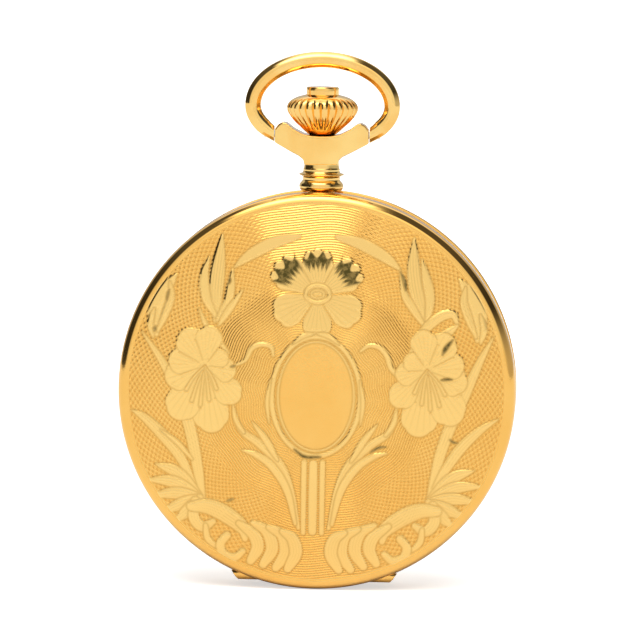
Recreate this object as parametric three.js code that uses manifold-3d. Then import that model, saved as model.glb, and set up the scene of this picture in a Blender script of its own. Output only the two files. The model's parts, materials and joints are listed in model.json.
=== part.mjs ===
// Hunter pocket watch: a 50 mm gold case with two hinged lids, a crown with a push button under a
// swinging bow, and a hand-wound lever movement. Everything is drawn in the watch's own frame, in
// millimetres: +X to the right, +Y to the pendant and +Z out of the dial. The last lines stand the
// watch upright, pendant up and front lid facing -Y, with the lowest point of its rim on z = 0.
import * as THREE from 'three';
import { mergeVertices } from 'three/addons/utils/BufferGeometryUtils.js';
import Module from 'manifold-3d';

const wasm = await Module();
wasm.setup();

const TURN = 2 * Math.PI;
const DEGREE = Math.PI / 180;

// Case
const CASE_RADIUS = 25;
const LID_APEX = 7;
const LID_THICKNESS = 0.5;
const DOME_DROP = 2;
const FLAT_RADIUS = 3;
const BORDER_WIDTH = 1.3;
const DOME_RADIUS = CASE_RADIUS - BORDER_WIDTH;
const RIM_TOP = 3.3;
const RIM_WALL = 0.5;
const BAND_OUTER = 24.8;
const BAND_INNER = 21.6;
const BAND_HALF = 2.1;
const SEAM = 0.1;
const REAR_RIM_OUTER = 22.3;
const REAR_RIM_DEPTH = 3.5;

// Lid hinges, on the side of the case away from the pendant
const HINGE_Y = -23.5;
const HINGE_Z = 2.7;
const KNUCKLE_RADIUS = 0.6;
const HINGE_HALF = 10.5;
const MIDDLE_KNUCKLE_HALF = 3.3;
const HINGE_GAP = 0.12;
const TAB_END = 7;
const TAB_HEIGHT = 1.5;
const HINGE_SEAT_Y = -22.6;
const PIN_RADIUS = 0.27;
const PIN_BORE = 0.32;

// Inner dust cover and its small hinge
const CUVETTE_RADIUS = 22.3;
const CUVETTE_HINGE_Y = -22.55;
const CUVETTE_HINGE_Z = -3.85;
const CUVETTE_KNUCKLE = 0.35;
const CUVETTE_HINGE_HALF = 3.6;
const CUVETTE_MIDDLE_HALF = 1.1;
const CUVETTE_PIN = 0.15;
const CUVETTE_BORE = 0.2;

// Pendant, crown and bow, as heights from the case centre
const SPIGOT_RADIUS = 1.7;
const STEM_RADIUS = 0.75;
const STEM_BORE = 0.85;
const COLLAR_BASE = 25.05;
const NECK_RADIUS = 2.2;
const HEAD_END_X = 5.9;
const BOW_PIVOT_Y = 32.1;
const BOW_HALF_WIDTH = 8.75;
const BOW_CENTRE_Y = 35.7;
const BOW_TOP = 41.5;
const BOW_DROP = 4.9;
const BOW_WIRE = 1.05;
const BOW_PIN_RADIUS = 0.45;
const BOW_BORE = 0.52;
const HEAD_HALF_LENGTH = 6.7;
const HEAD_HALF_DEPTH = 2.3;
const SADDLE_HALF = 1.1;
const SADDLE_Y = 31.96;
const CROWN_FLUTES = 26;
const FLUTE_DEPTH = 0.32;
const BUTTON_RADIUS = 2.05;
const BUTTON_TOP = 38.1;

// Movement
const PLATE_RADIUS = 21.2;
const PLATE_BACK = 0.4;
const PLATE_FRONT = 1.7;
const DIAL_RADIUS = 20.9;
const DIAL_BACK = 2.53;
const DIAL_FRONT = 3.03;
const BRIDGE_RADIUS = 19.9;
const BRIDGE_FRONT = -1.8;
const BRIDGE_BACK = -3;
const ARBOR = 0.25;
const PIVOT_HOLE = 0.3;
const CENTRE = [0, 0];
const BARREL = [-7.6, 5.2];
const CROWN_WHEEL = [0, 11.6];
const THIRD = [5.99, 3.11];
const FOURTH = [11, 0];
const ESCAPE = [9.84, -4.35];
const BALANCE = [5.5, -12.8];
const PALLET = [8.2, -7.55];
const COCK_FOOT = [14.6, -10.6];
const MINUTE_WHEEL = [1.4, 3.97];
const SETTING_WHEEL = [0.6, 9.2];
const CLICK = [-12.6, 11.3];
const WINDING_LEVEL = [-3.4, -3.06];
const BARREL_BRIDGE_FEET = [[-15.9, 9.1], [12.5, 12.5]];
const TRAIN_BRIDGE_FEET = [[17.2, -1.5], [-9.5, -14]];
const FOOT_RADIUS = 1.1;
const RIM_SCREWS = 8;
const CASE_POCKET_AT = 21.2;
const CASE_SCREW_AT = 20.6;
const CASE_SCREW_ANGLES = [45, 225];

// The hands show ten past ten, with twelve on the left as on every hunter dial
const HOUR_ANGLE = 304.8;
const MINUTE_ANGLE = 57.6;
const SECOND_ANGLE = 216;

// Facets round a full circle
const BAND_FACETS = 72;
const COVER_FACETS = 48;
const FINE = 40;
const MEDIUM = 18;
const COARSE = 12;
const SMALL = 8;

const GOLD = { color: 0xe0b066, roughness: 0.24, metalness: 1 };
const POLISHED_GOLD = { color: 0xe6b56a, roughness: 0.12, metalness: 1 };
const GILT = { color: 0xd9b56c, roughness: 0.38, metalness: 1 };
const BRASS = { color: 0xc9a24e, roughness: 0.35, metalness: 1 };
const STEEL = { color: 0xc4c7cb, roughness: 0.22, metalness: 1 };
const BLUED_STEEL = { color: 0x24408f, roughness: 0.22, metalness: 1 };
const ENAMEL = { color: 0xf6f3ea, roughness: 0.16, metalness: 0 };
const GLASS = { color: 0xf2f6f7, roughness: 0.04, metalness: 0 };

// ---- solids -------------------------------------------------------------------------------------

// Six times the volume that a triangle list encloses, negative when it faces inwards.
function enclosed(position, triangles) {
  let sum = 0;
  const [a, b, c] = [new THREE.Vector3(), new THREE.Vector3(), new THREE.Vector3()];
  for (let i = 0; i < triangles.length; i += 3) {
    a.fromArray(position, 3 * triangles[i]);
    b.fromArray(position, 3 * triangles[i + 1]);
    c.fromArray(position, 3 * triangles[i + 2]);
    sum += a.dot(b.cross(c));
  }
  return sum;
}

// A closed three.js geometry as a manifold solid that faces out.
function solid(geometry) {
  const bare = geometry.clone();
  bare.deleteAttribute('normal');
  bare.deleteAttribute('uv');
  const merged = mergeVertices(bare);
  const corners = merged.index.array;
  const position = merged.attributes.position.array;
  const triangles = [];
  for (let i = 0; i < corners.length; i += 3) {
    const [a, b, c] = corners.slice(i, i + 3);
    if (a !== b && b !== c && c !== a) triangles.push(a, b, c);
  }
  if (enclosed(position, triangles) < 0) triangles.reverse();
  const triVerts = Uint32Array.from(triangles);
  return new wasm.Manifold(new wasm.Mesh({ numProp: 3, vertProperties: position, triVerts }));
}

function join(first, ...others) {
  return others.reduce((whole, other) => whole.add(other), first);
}

function cut(first, ...others) {
  return others.reduce((whole, other) => whole.subtract(other), first);
}

// The faceted three.js geometry of a manifold solid.
function geometryOf(body) {
  const mesh = body.getMesh();
  const geometry = new THREE.BufferGeometry();
  geometry.setAttribute('position', new THREE.BufferAttribute(mesh.vertProperties, 3));
  geometry.setIndex(new THREE.BufferAttribute(mesh.triVerts, 1));
  geometry.computeVertexNormals();
  return geometry;
}

// The revolved geometry of a profile, which closes on itself where it stands off the axis.
function latheOf(profile, segments) {
  const points = profile.map(([radius, height]) => new THREE.Vector2(radius, height));
  const closes = profile[0][0] > 0 || profile.at(-1)[0] > 0;
  if (closes) points.push(points[0].clone());
  return new THREE.LatheGeometry(points, segments);
}

// A body turned about Z, from [radius, z] pairs.
function turned(profile, segments = FINE) {
  return solid(latheOf(profile, segments).rotateX(Math.PI / 2));
}

// A body turned about the stem, from [radius, y] pairs.
function turnedOnStem(profile, segments = MEDIUM) {
  return solid(latheOf(profile, segments));
}

// A round disc or rod along Z.
function disc([x, y], radius, from, to, segments = COARSE) {
  const geometry = new THREE.CylinderGeometry(radius, radius, to - from, segments);
  return solid(geometry.rotateX(Math.PI / 2).translate(x, y, (from + to) / 2));
}

// A cutter whose flats, not corners, lie at the radius, so that a round shaft turns in its hole.
function hole(at, radius, from, to, segments = SMALL) {
  return disc(at, radius / Math.cos(Math.PI / segments), from, to, segments);
}

function rodAlongX(radius, from, to, y, z, segments = COARSE) {
  const geometry = new THREE.CylinderGeometry(radius, radius, to - from, segments);
  return solid(geometry.rotateZ(Math.PI / 2).translate((from + to) / 2, y, z));
}

function block(x, y, z) {
  const geometry = new THREE.BoxGeometry(x[1] - x[0], y[1] - y[0], z[1] - z[0]);
  return solid(geometry.translate((x[0] + x[1]) / 2, (y[0] + y[1]) / 2, (z[0] + z[1]) / 2));
}

// A flat shape given a thickness along Z.
function plate(shape, from, to, curveSegments = COARSE) {
  const options = { depth: to - from, bevelEnabled: false, curveSegments };
  return solid(new THREE.ExtrudeGeometry(shape, options).translate(0, 0, from));
}

function outline(points) {
  return new THREE.Shape(points.map(([x, y]) => new THREE.Vector2(x, y)));
}

// A point at a radius and an angle from a centre.
function polar(radius, degrees, [x, y] = CENTRE) {
  return [x + radius * Math.cos(degrees * DEGREE), y + radius * Math.sin(degrees * DEGREE)];
}

// Points along an arc, from one angle to another.
function arc(radius, from, to, steps, centre = CENTRE) {
  const points = [];
  for (let i = 0; i <= steps; i += 1) points.push(polar(radius, from + ((to - from) * i) / steps, centre));
  return points;
}

// A curved strip between two radii and two angles.
function strip(inner, outer, from, to, low, high, steps = 8) {
  return plate(outline([...arc(outer, from, to, steps), ...arc(inner, to, from, steps)]), low, high);
}

// A wheel or pinion with pointed teeth.
function toothed(centre, teeth, tip, depth, from, to) {
  const points = [];
  for (let i = 0; i < teeth; i += 1) {
    points.push(polar(tip, (360 * i) / teeth));
    points.push(polar(tip - depth, (360 * (i + 0.5)) / teeth));
  }
  return plate(outline(points), from, to).translate([...centre, 0]);
}

// A spiral ribbon of constant width.
function spiral(centre, inner, outer, turns, width, from, to, steps = COARSE) {
  const count = Math.round(turns * steps);
  const edge = (offset) => Array.from({ length: count + 1 }, (_, i) => {
    const radius = inner + ((outer - inner) * i) / count;
    return polar(radius + offset, (360 * i) / steps);
  });
  const points = [...edge(width / 2), ...edge(-width / 2).reverse()];
  return plate(outline(points), from, to).translate([...centre, 0]);
}

// ---- case ---------------------------------------------------------------------------------------

// How far the lid's dome has dropped at a radius.
function domeDrop(radius) {
  const sphere = (DOME_RADIUS ** 2 + DOME_DROP ** 2) / (2 * DOME_DROP);
  return sphere - Math.sqrt(sphere ** 2 - radius ** 2);
}

function lidProfile() {
  const outside = (radius) => [radius, LID_APEX - domeDrop(radius)];
  const inside = (radius) => [radius, LID_APEX - LID_THICKNESS - domeDrop(radius)];
  const edge = LID_APEX - DOME_DROP;
  const rimInner = CASE_RADIUS - RIM_WALL;
  return [
    [0, LID_APEX], [FLAT_RADIUS, LID_APEX], outside(14), outside(DOME_RADIUS),
    [CASE_RADIUS - 0.45, edge - 0.6], [CASE_RADIUS - 0.1, edge - 1.1], [CASE_RADIUS, RIM_TOP],
    [CASE_RADIUS, BAND_HALF + SEAM], [rimInner, BAND_HALF + SEAM], [rimInner, RIM_TOP - 0.1],
    [rimInner - 0.4, RIM_TOP + 0.7], inside(DOME_RADIUS - 0.5), inside(0),
  ];
}

// A lid with the two outer knuckles of its hinge; side is 1 for the front lid, -1 for the back. A tab
// of the lid's own metal, kept inside its skin, carries each knuckle.
function lid(side) {
  const profile = lidProfile().map(([radius, z]) => [radius, side * z]);
  const room = block(
    [-MIDDLE_KNUCKLE_HALF - HINGE_GAP, MIDDLE_KNUCKLE_HALF + HINGE_GAP],
    [HINGE_Y - KNUCKLE_RADIUS - HINGE_GAP, HINGE_Y + 2],
    side > 0 ? [0, HINGE_Z + KNUCKLE_RADIUS + HINGE_GAP] : [-HINGE_Z - KNUCKLE_RADIUS - HINGE_GAP, 0],
  );
  const knuckles = [-1, 1].map((end) => {
    const from = MIDDLE_KNUCKLE_HALF + HINGE_GAP;
    const ends = end > 0 ? [from, HINGE_HALF] : [-HINGE_HALF, -from];
    return rodAlongX(KNUCKLE_RADIUS, ...ends, HINGE_Y, side * HINGE_Z);
  });
  const tabs = [-1, 1].map((end) => block(
    end > 0 ? [MIDDLE_KNUCKLE_HALF + HINGE_GAP, TAB_END] : [-TAB_END, -MIDDLE_KNUCKLE_HALF - HINGE_GAP],
    [HINGE_Y - KNUCKLE_RADIUS, HINGE_Y],
    side > 0 ? [HINGE_Z, HINGE_Z + TAB_HEIGHT] : [-HINGE_Z - TAB_HEIGHT, -HINGE_Z],
  ));
  const outsideOnly = lidProfile().slice(0, 8).map(([radius, z]) => [radius, side * z]);
  const skin = turned([...outsideOnly, [0, side * 2]]);
  const bore = rodAlongX(PIN_BORE, -HINGE_HALF + 0.4, HINGE_HALF - 0.4, HINGE_Y, side * HINGE_Z, 12);
  const inTab = tabs.map((tab) => tab.intersect(skin));
  return cut(join(cut(turned(profile), room), ...inTab, ...knuckles), bore);
}

function hingePin(side) {
  const half = HINGE_HALF - 0.5;
  return rodAlongX(PIN_RADIUS, -half, half, HINGE_Y, side * HINGE_Z, 10);
}

// The middle knuckle of a lid hinge with the web that carries it, as part of the case band.
function middleKnuckle(side) {
  const rear = -REAR_RIM_OUTER + 0.02;
  const web = [
    [HINGE_Y, HINGE_Z - 0.55], [HINGE_Y + 0.75, HINGE_Z - 0.55], [HINGE_SEAT_Y - 0.05, HINGE_Z - 1],
    [rear, HINGE_Z - 1], [rear, HINGE_Z + 0.5], [HINGE_Y, HINGE_Z + 0.5],
  ];
  const half = MIDDLE_KNUCKLE_HALF;
  const flat = plate(outline(web.map(([y, z]) => [y, side * z])), -half, half);
  const upright = flat.rotate([90, 0, 90]);
  return join(upright, rodAlongX(KNUCKLE_RADIUS, -half, half, HINGE_Y, side * HINGE_Z));
}

function caseMiddle() {
  const band = turned([
    [BAND_INNER, -REAR_RIM_DEPTH], [REAR_RIM_OUTER, -REAR_RIM_DEPTH], [REAR_RIM_OUTER, -BAND_HALF],
    [BAND_OUTER, -BAND_HALF], [BAND_OUTER, BAND_HALF], [BAND_INNER, BAND_HALF],
  ], BAND_FACETS);
  const seat = block([-12, 12], [-26, HINGE_SEAT_Y], [-3, 3]);
  const lockGroove = strip(22.4, 24, 47, 82, 0.5, 3);
  const liftGroove = strip(22.4, 24, 208, 245, 0.5, 3);
  const pendantHole = solid(
    new THREE.CylinderGeometry(SPIGOT_RADIUS + 0.05, SPIGOT_RADIUS + 0.05, 6, 20).translate(0, 23.5, 0),
  );
  const pockets = CASE_SCREW_ANGLES.map((angle) => (
    hole(polar(CASE_POCKET_AT, angle), 1, -4, PLATE_BACK - 0.04, COARSE)
  ));
  const stand = block([-CUVETTE_MIDDLE_HALF, CUVETTE_MIDDLE_HALF], [CUVETTE_HINGE_Y, -21.75], [-4.1, -3.3]);
  const small = rodAlongX(
    CUVETTE_KNUCKLE, -CUVETTE_MIDDLE_HALF, CUVETTE_MIDDLE_HALF, CUVETTE_HINGE_Y, CUVETTE_HINGE_Z, 12,
  );
  const bores = [-1, 1].map((side) => rodAlongX(PIN_BORE, -4, 4, HINGE_Y, side * HINGE_Z, 12));
  const smallBore = rodAlongX(CUVETTE_BORE, -4, 4, CUVETTE_HINGE_Y, CUVETTE_HINGE_Z, 10);
  const filed = cut(band, seat, lockGroove, liftGroove, pendantHole, ...pockets);
  return cut(join(filed, middleKnuckle(1), middleKnuckle(-1), stand, small), ...bores, smallBore);
}

function cuvette() {
  const shell = turned([
    [0, -4.95], [21.5, -4.52], [CUVETTE_RADIUS, -4.2], [CUVETTE_RADIUS, -3.55],
    [21.9, -3.55], [21.6, -4.1], [0, -4.55],
  ], COVER_FACETS);
  const gap = CUVETTE_MIDDLE_HALF + HINGE_GAP;
  const notch = block([-gap, gap], [-24, -21.6], [-6, -3]);
  const ends = [[-CUVETTE_HINGE_HALF, -gap], [gap, CUVETTE_HINGE_HALF]];
  const knuckles = ends.flatMap((span) => [
    rodAlongX(CUVETTE_KNUCKLE, ...span, CUVETTE_HINGE_Y, CUVETTE_HINGE_Z, COARSE),
    block(span, [CUVETTE_HINGE_Y, -21.8], [-4.15, -3.65]),
  ]);
  const bore = rodAlongX(CUVETTE_BORE, -3.3, 3.3, CUVETTE_HINGE_Y, CUVETTE_HINGE_Z, 10);
  return cut(join(cut(shell, notch), ...knuckles), bore);
}

function bezel() {
  return turned([
    [22.2, BAND_HALF + 0.05], [22.2, 3.6], [21.8, 4.35], [21.3, 4.35], [21.3, 3.85], [20.7, 3.85],
    [20.7, 3.15], [21.65, 3.15], [21.65, BAND_HALF + 0.05],
  ], COVER_FACETS);
}

function crystal() {
  return turned([
    [0, 5.6], [12, 5.25], [20.5, 4.45], [21.2, 4.25], [21.2, 3.9], [20.6, 3.9], [12, 4.75], [0, 5.1],
  ], COVER_FACETS);
}

function lockSpring() {
  const leaf = strip(23.05, 23.4, 50, 79, 0.7, 1.9);
  const foot = strip(22.6, 23.8, 49, 53, 0.7, 1.9, 2);
  const nose = strip(22.9, 23.85, 77, 80, 0.7, 2.8, 2);
  return join(leaf, foot, nose);
}

function liftSpring() {
  const leaf = strip(23.05, 23.4, 212, 240, 0.7, 1.6);
  const foot = strip(22.6, 23.8, 210, 214, 0.7, 1.6, 2);
  const nose = strip(22.8, 23.6, 238, 241, 0.7, 2.7, 2);
  return join(leaf, foot, nose);
}

// ---- pendant, crown and bow ---------------------------------------------------------------------

// The front of the pendant's head: arms that rise to the bow's ends, with a saddle between their tops.
function headFront() {
  const front = new THREE.Shape();
  front.moveTo(-NECK_RADIUS, 28.95);
  front.quadraticCurveTo(-3, 29.6, -HEAD_END_X, 31.06);
  front.lineTo(-HEAD_END_X, 32.75);
  front.quadraticCurveTo(-5.5, 33.65, -4.9, 33.62);
  front.bezierCurveTo(-4, 33.5, -3.2, SADDLE_Y, -SADDLE_HALF, SADDLE_Y);
  front.lineTo(SADDLE_HALF, SADDLE_Y);
  front.bezierCurveTo(3.2, SADDLE_Y, 4, 33.5, 4.9, 33.62);
  front.quadraticCurveTo(5.5, 33.65, HEAD_END_X, 32.75);
  front.lineTo(HEAD_END_X, 31.06);
  front.quadraticCurveTo(3, 29.6, NECK_RADIUS, 28.95);
  return front;
}

function pendant() {
  const post = turnedOnStem([
    [0, 22.3], [SPIGOT_RADIUS, 22.3], [SPIGOT_RADIUS, COLLAR_BASE], [2.5, COLLAR_BASE], [2.78, 25.6],
    [2.62, 26.2], [2.35, 26.35], [2.35, 26.95], [2.8, 27], [2.8, 27.2], [2.3, 27.35],
    [NECK_RADIUS, 28.3], [NECK_RADIUS, 29.6], [0, 29.6],
  ]);
  const yoke = plate(headFront(), -3.4, 3.4, 4);
  const plan = solid(
    new THREE.CylinderGeometry(1, 1, 8, 32).scale(HEAD_HALF_LENGTH, 1, HEAD_HALF_DEPTH).translate(0, 31, 0),
  );
  const head = yoke.intersect(plan);
  const stemBore = solid(
    new THREE.CylinderGeometry(STEM_BORE, STEM_BORE, 14, COARSE).translate(0, 28, 0),
  );
  const screwBores = [-1, 1].map((side) => (
    rodAlongX(BOW_BORE, ...(side > 0 ? [4.2, 7] : [-7, -4.2]), BOW_PIVOT_Y, 0, 12)
  ));
  return cut(join(post, head), stemBore, ...screwBores);
}

// The bow: a wire bent along a flat oval whose ends meet the sides of the pendant's head.
function bow() {
  const points = [];
  const sides = 14;
  const lowerAngle = -35;
  for (let i = 0; i <= sides; i += 1) {
    const angle = (lowerAngle + ((180 - 2 * lowerAngle) * i) / sides) * DEGREE;
    const rise = angle > 0 && angle < Math.PI ? BOW_TOP - BOW_CENTRE_Y : BOW_DROP;
    const x = BOW_HALF_WIDTH * Math.cos(angle);
    points.push(new THREE.Vector3(x, BOW_CENTRE_Y + rise * Math.sin(angle), 0));
  }
  const end = (side) => new THREE.Vector3(side * (HEAD_END_X + 0.06), BOW_PIVOT_Y, 0);
  const path = new THREE.CatmullRomCurve3([end(1), ...points, end(-1)], false, 'centripetal');
  const section = outline(arc(BOW_WIRE, 0, 315, 7));
  const wire = solid(new THREE.ExtrudeGeometry(section, { steps: 32, extrudePath: path }));
  const bores = [-1, 1].map((side) => (
    rodAlongX(BOW_BORE, ...(side > 0 ? [5, 7.35] : [-7.35, -5]), BOW_PIVOT_Y, 0, 12)
  ));
  const trim = block([-HEAD_END_X - 0.05, HEAD_END_X + 0.05], [30, 35], [-3, 3]);
  return cut(wire, trim, ...bores);
}

function bowScrew(side) {
  return rodAlongX(BOW_PIN_RADIUS, ...(side > 0 ? [4.3, 7.25] : [-7.25, -4.3]), BOW_PIVOT_Y, 0, 10);
}

// The crown's outline, from its hub in the pendant's saddle to the rim round the button.
function crown() {
  const profile = [
    [0, 32.15], [1.4, 32.15], [2.8, 33.1], [3.7, 34], [4.34, 34.9], [4.46, 35.4], [4.3, 36],
    [3.6, 36.6], [2.7, 36.95], [BUTTON_RADIUS + 0.1, 37.05], [BUTTON_RADIUS + 0.1, 36.05], [0, 36.05],
  ];
  const body = latheOf(profile, 2 * CROWN_FLUTES);
  const position = body.attributes.position;
  for (let i = 0; i < position.count; i += 1) {
    const [x, y, z] = [position.getX(i), position.getY(i), position.getZ(i)];
    const radius = Math.hypot(x, z);
    const grip = Math.min(1, Math.max(0, (radius - 2.6) / 1.2)) * Math.min(1, Math.max(0, (37.1 - y) / 1.2));
    const wave = Math.cos(CROWN_FLUTES * Math.atan2(x, z));
    const pull = radius > 0 ? 1 - (FLUTE_DEPTH * grip * (1 - wave)) / (2 * radius) : 1;
    position.setXYZ(i, x * pull, y, z * pull);
  }
  const socketRadius = STEM_RADIUS + 0.05;
  const socket = turnedOnStem([[0, 30.8], [socketRadius, 30.8], [socketRadius, 33.8], [0, 33.8]], COARSE);
  const buttonWay = turnedOnStem([[0, 33.8], [0.5, 33.8], [0.5, 37.8], [0, 37.8]], COARSE);
  return cut(solid(body), socket, buttonWay);
}

function crownStem() {
  return turnedOnStem([
    [0, 11.6], [0.5, 11.6], [0.5, 14.9], [STEM_RADIUS, 14.9], [STEM_RADIUS, 33.7], [0, 33.7],
  ], COARSE);
}

function crownButton() {
  return turnedOnStem([
    [0, 34.3], [0.42, 34.3], [0.42, 36.85], [BUTTON_RADIUS, 36.85], [BUTTON_RADIUS, 37.8],
    [BUTTON_RADIUS - 0.25, BUTTON_TOP], [0, BUTTON_TOP],
  ], MEDIUM);
}

// ---- dial and hands -----------------------------------------------------------------------------

function dial() {
  const face = turned([
    [1.25, DIAL_BACK], [DIAL_RADIUS, DIAL_BACK], [DIAL_RADIUS, DIAL_FRONT], [1.25, DIAL_FRONT],
  ]);
  const sink = disc(FOURTH, 4.6, DIAL_FRONT - 0.12, DIAL_FRONT + 1, 28);
  return cut(face, sink, hole(FOURTH, 0.32, 2, 4));
}

// Where a clock angle points on a dial with twelve on the left.
function dialDirection(clockAngle) {
  return 180 - clockAngle;
}

// A pointed hand on a round hub; level is [from, to] along Z.
function hand({ hub, bore, length, width, tail, clockAngle, centre, level }) {
  const shoulder = length * 0.62;
  const blade = outline([
    [-tail, -width / 3], [hub, -width / 2], [shoulder, -width / 2], [length, 0],
    [shoulder, width / 2], [hub, width / 2], [-tail, width / 3],
  ]);
  const whole = join(plate(blade, ...level), disc(CENTRE, hub, ...level));
  const bored = cut(whole, hole(CENTRE, bore, 0, 9, COARSE));
  return bored.rotate([0, 0, dialDirection(clockAngle)]).translate([...centre, 0]);
}

// ---- movement -----------------------------------------------------------------------------------

// A wheel with its pinion on one arbor; levels are [from, to] along Z.
function trainWheel(centre, wheel, pinion, arborEnds) {
  const blank = toothed(centre, wheel.teeth, wheel.radius, wheel.depth, ...wheel.level);
  const windows = [45, 135, 225, 315].map((angle) => (
    disc(polar(wheel.radius * 0.52, angle, centre), wheel.radius * 0.27, -9, 9, SMALL)
  ));
  const leaves = toothed(centre, pinion.leaves, pinion.radius, pinion.radius * 0.3, ...pinion.level);
  const arbor = disc(centre, ARBOR, ...arborEnds, SMALL);
  return join(cut(blank, ...windows), leaves, arbor);
}

function mainplate() {
  const base = turned([
    [0, PLATE_BACK], [PLATE_RADIUS, PLATE_BACK], [PLATE_RADIUS, 2.48], [20.3, 2.48],
    [20.3, PLATE_FRONT], [0, PLATE_FRONT],
  ]);
  const keyway = block([-1.8, 1.8], [11.4, 22], [0, 3]);
  const pivots = [THIRD, FOURTH, ESCAPE, BALANCE, PALLET].map((at) => hole(at, PIVOT_HOLE, 0, 2));
  const centreHole = hole(CENTRE, 0.5, 0, 2);
  const arborHole = hole(BARREL, 0.9, 0, 1.3, COARSE);
  const screwHoles = CASE_SCREW_ANGLES.map((angle) => hole(polar(CASE_SCREW_AT, angle), 0.42, 0, 2));
  const studs = [MINUTE_WHEEL, SETTING_WHEEL].map((at) => disc(at, 0.3, 1.6, 2.4, SMALL));
  return cut(join(base, ...studs), keyway, ...pivots, centreHole, arborHole, ...screwHoles);
}

function feet(positions) {
  return positions.map((at) => disc(at, FOOT_RADIUS, BRIDGE_FRONT - 0.2, PLATE_BACK - 0.05));
}

function screwWays(positions) {
  return positions.map((at) => hole(at, 0.42, -4, 0));
}

function barrelBridge() {
  const shape = outline([
    ...arc(BRIDGE_RADIUS, 15, 190, 28), [-6.2, -3.45], [-3.4, -1.8], [-2.4, 1.8], [2, 2.3], [3.4, 5.15],
  ]);
  const sheet = plate(shape, BRIDGE_BACK, BRIDGE_FRONT);
  const arborWay = hole(BARREL, 0.9, -4, 0, COARSE);
  const wheelWay = hole(CROWN_WHEEL, 0.42, -4, 0);
  const footed = join(sheet, ...feet(BARREL_BRIDGE_FEET));
  return cut(footed, arborWay, wheelWay, ...screwWays(BARREL_BRIDGE_FEET));
}

function trainBridge() {
  const shape = outline([
    ...arc(BRIDGE_RADIUS, 14, -19, 6), ...arc(7.3, 36, 200, 14, BALANCE),
    ...arc(BRIDGE_RADIUS, -98, -168, 12), [-6, -4.2], [-3.1, -2.1], [-2.1, 1.5], [2.2, 2], [3.6, 4.8],
  ]);
  const sheet = plate(shape, BRIDGE_BACK, BRIDGE_FRONT);
  const pivots = [CENTRE, THIRD, FOURTH, ESCAPE].map((at) => hole(at, PIVOT_HOLE, -4, 0));
  return cut(join(sheet, ...feet(TRAIN_BRIDGE_FEET)), ...pivots, ...screwWays(TRAIN_BRIDGE_FEET));
}

// A flat bar with a round end at each of two places.
function link(first, firstRadius, second, secondRadius, from, to) {
  const heading = Math.atan2(second[1] - first[1], second[0] - first[0]) / DEGREE;
  const reach = Math.hypot(second[0] - first[0], second[1] - first[1]);
  const lean = Math.asin((firstRadius - secondRadius) / reach) / DEGREE;
  return plate(outline([
    ...arc(secondRadius, heading - 90 + lean, heading + 90 - lean, 10, second),
    ...arc(firstRadius, heading + 90 - lean, heading + 270 + lean, 10, first),
  ]), from, to);
}

function balanceCock() {
  const arm = link(COCK_FOOT, 1.8, BALANCE, 2.6, -3.6, -3.05);
  const foot = disc(COCK_FOOT, 1.8, -3.3, PLATE_BACK - 0.05);
  return cut(join(arm, foot), hole(BALANCE, PIVOT_HOLE, -4, 0), hole(COCK_FOOT, 0.42, -4, -0.6));
}

function palletBridge() {
  const across = Math.atan2(BALANCE[1] - ESCAPE[1], BALANCE[0] - ESCAPE[0]) / DEGREE + 90;
  const ends = [polar(3.3, across, PALLET), polar(3.3, across + 180, PALLET)];
  const bar = link(ends[0], 0.75, ends[1], 0.75, -1.25, -0.9);
  const legs = ends.map((at) => disc(at, 0.7, -1.1, PLATE_BACK - 0.05, 12));
  return cut(join(bar, ...legs), hole(PALLET, PIVOT_HOLE, -2, -0.8));
}

function barrelDrum() {
  const drum = turned([
    [1.1, -0.05], [1.1, 0.25], [7.7, 0.25], [7.7, -0.95], [7.3, -0.95], [7.3, -0.05],
  ], 28).translate([...BARREL, 0]);
  const ring = toothed(BARREL, 30, 8, 0.45, -0.05, 0.25);
  return join(drum, cut(ring, hole(BARREL, 7.35, -1, 1, 28)));
}

function barrelArbor() {
  const rings = [[0, 1], [0.8, 1], [0.8, -3.45], [0, -3.45]];
  return turned(rings, COARSE).translate([...BARREL, 0]);
}

function escapeWheel() {
  const points = [];
  const teeth = 15;
  for (let i = 0; i < teeth; i += 1) {
    const start = (360 * i) / teeth;
    points.push(polar(3, start), polar(2.3, start + 6), polar(2.2, start + 20));
  }
  const rim = plate(outline(points), -0.6, -0.35);
  const windows = [45, 135, 225, 315].map((angle) => disc(polar(1.4, angle), 0.62, -1, 0, 6));
  const pinion = toothed(CENTRE, 7, 0.44, 0.13, -1.25, -0.75);
  const wheel = join(cut(rim, ...windows), pinion, disc(CENTRE, 0.2, -2.5, 1, 10));
  return wheel.translate([...ESCAPE, 0]);
}

function palletFork() {
  const toBalance = Math.atan2(BALANCE[1] - ESCAPE[1], BALANCE[0] - ESCAPE[0]) / DEGREE;
  const lever = outline([
    [-0.2, 2.3], [-1.15, 2.45], [-1.15, 2.05], [-0.35, 1.8], [-0.5, 0.6], [-0.5, -0.6], [-0.35, -1.8],
    [-1.15, -2.05], [-1.15, -2.45], [-0.2, -2.3], [0.4, -0.5], [4, -0.2], [4.9, -0.45], [4.95, -0.2],
    [4.5, 0], [4.95, 0.2], [4.9, 0.45], [4, 0.2], [0.4, 0.5],
  ]);
  const fork = join(plate(lever, -0.6, -0.35), disc(CENTRE, 0.2, -1.2, 1, 10));
  return fork.rotate([0, 0, toBalance]).translate([...PALLET, 0]);
}

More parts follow.
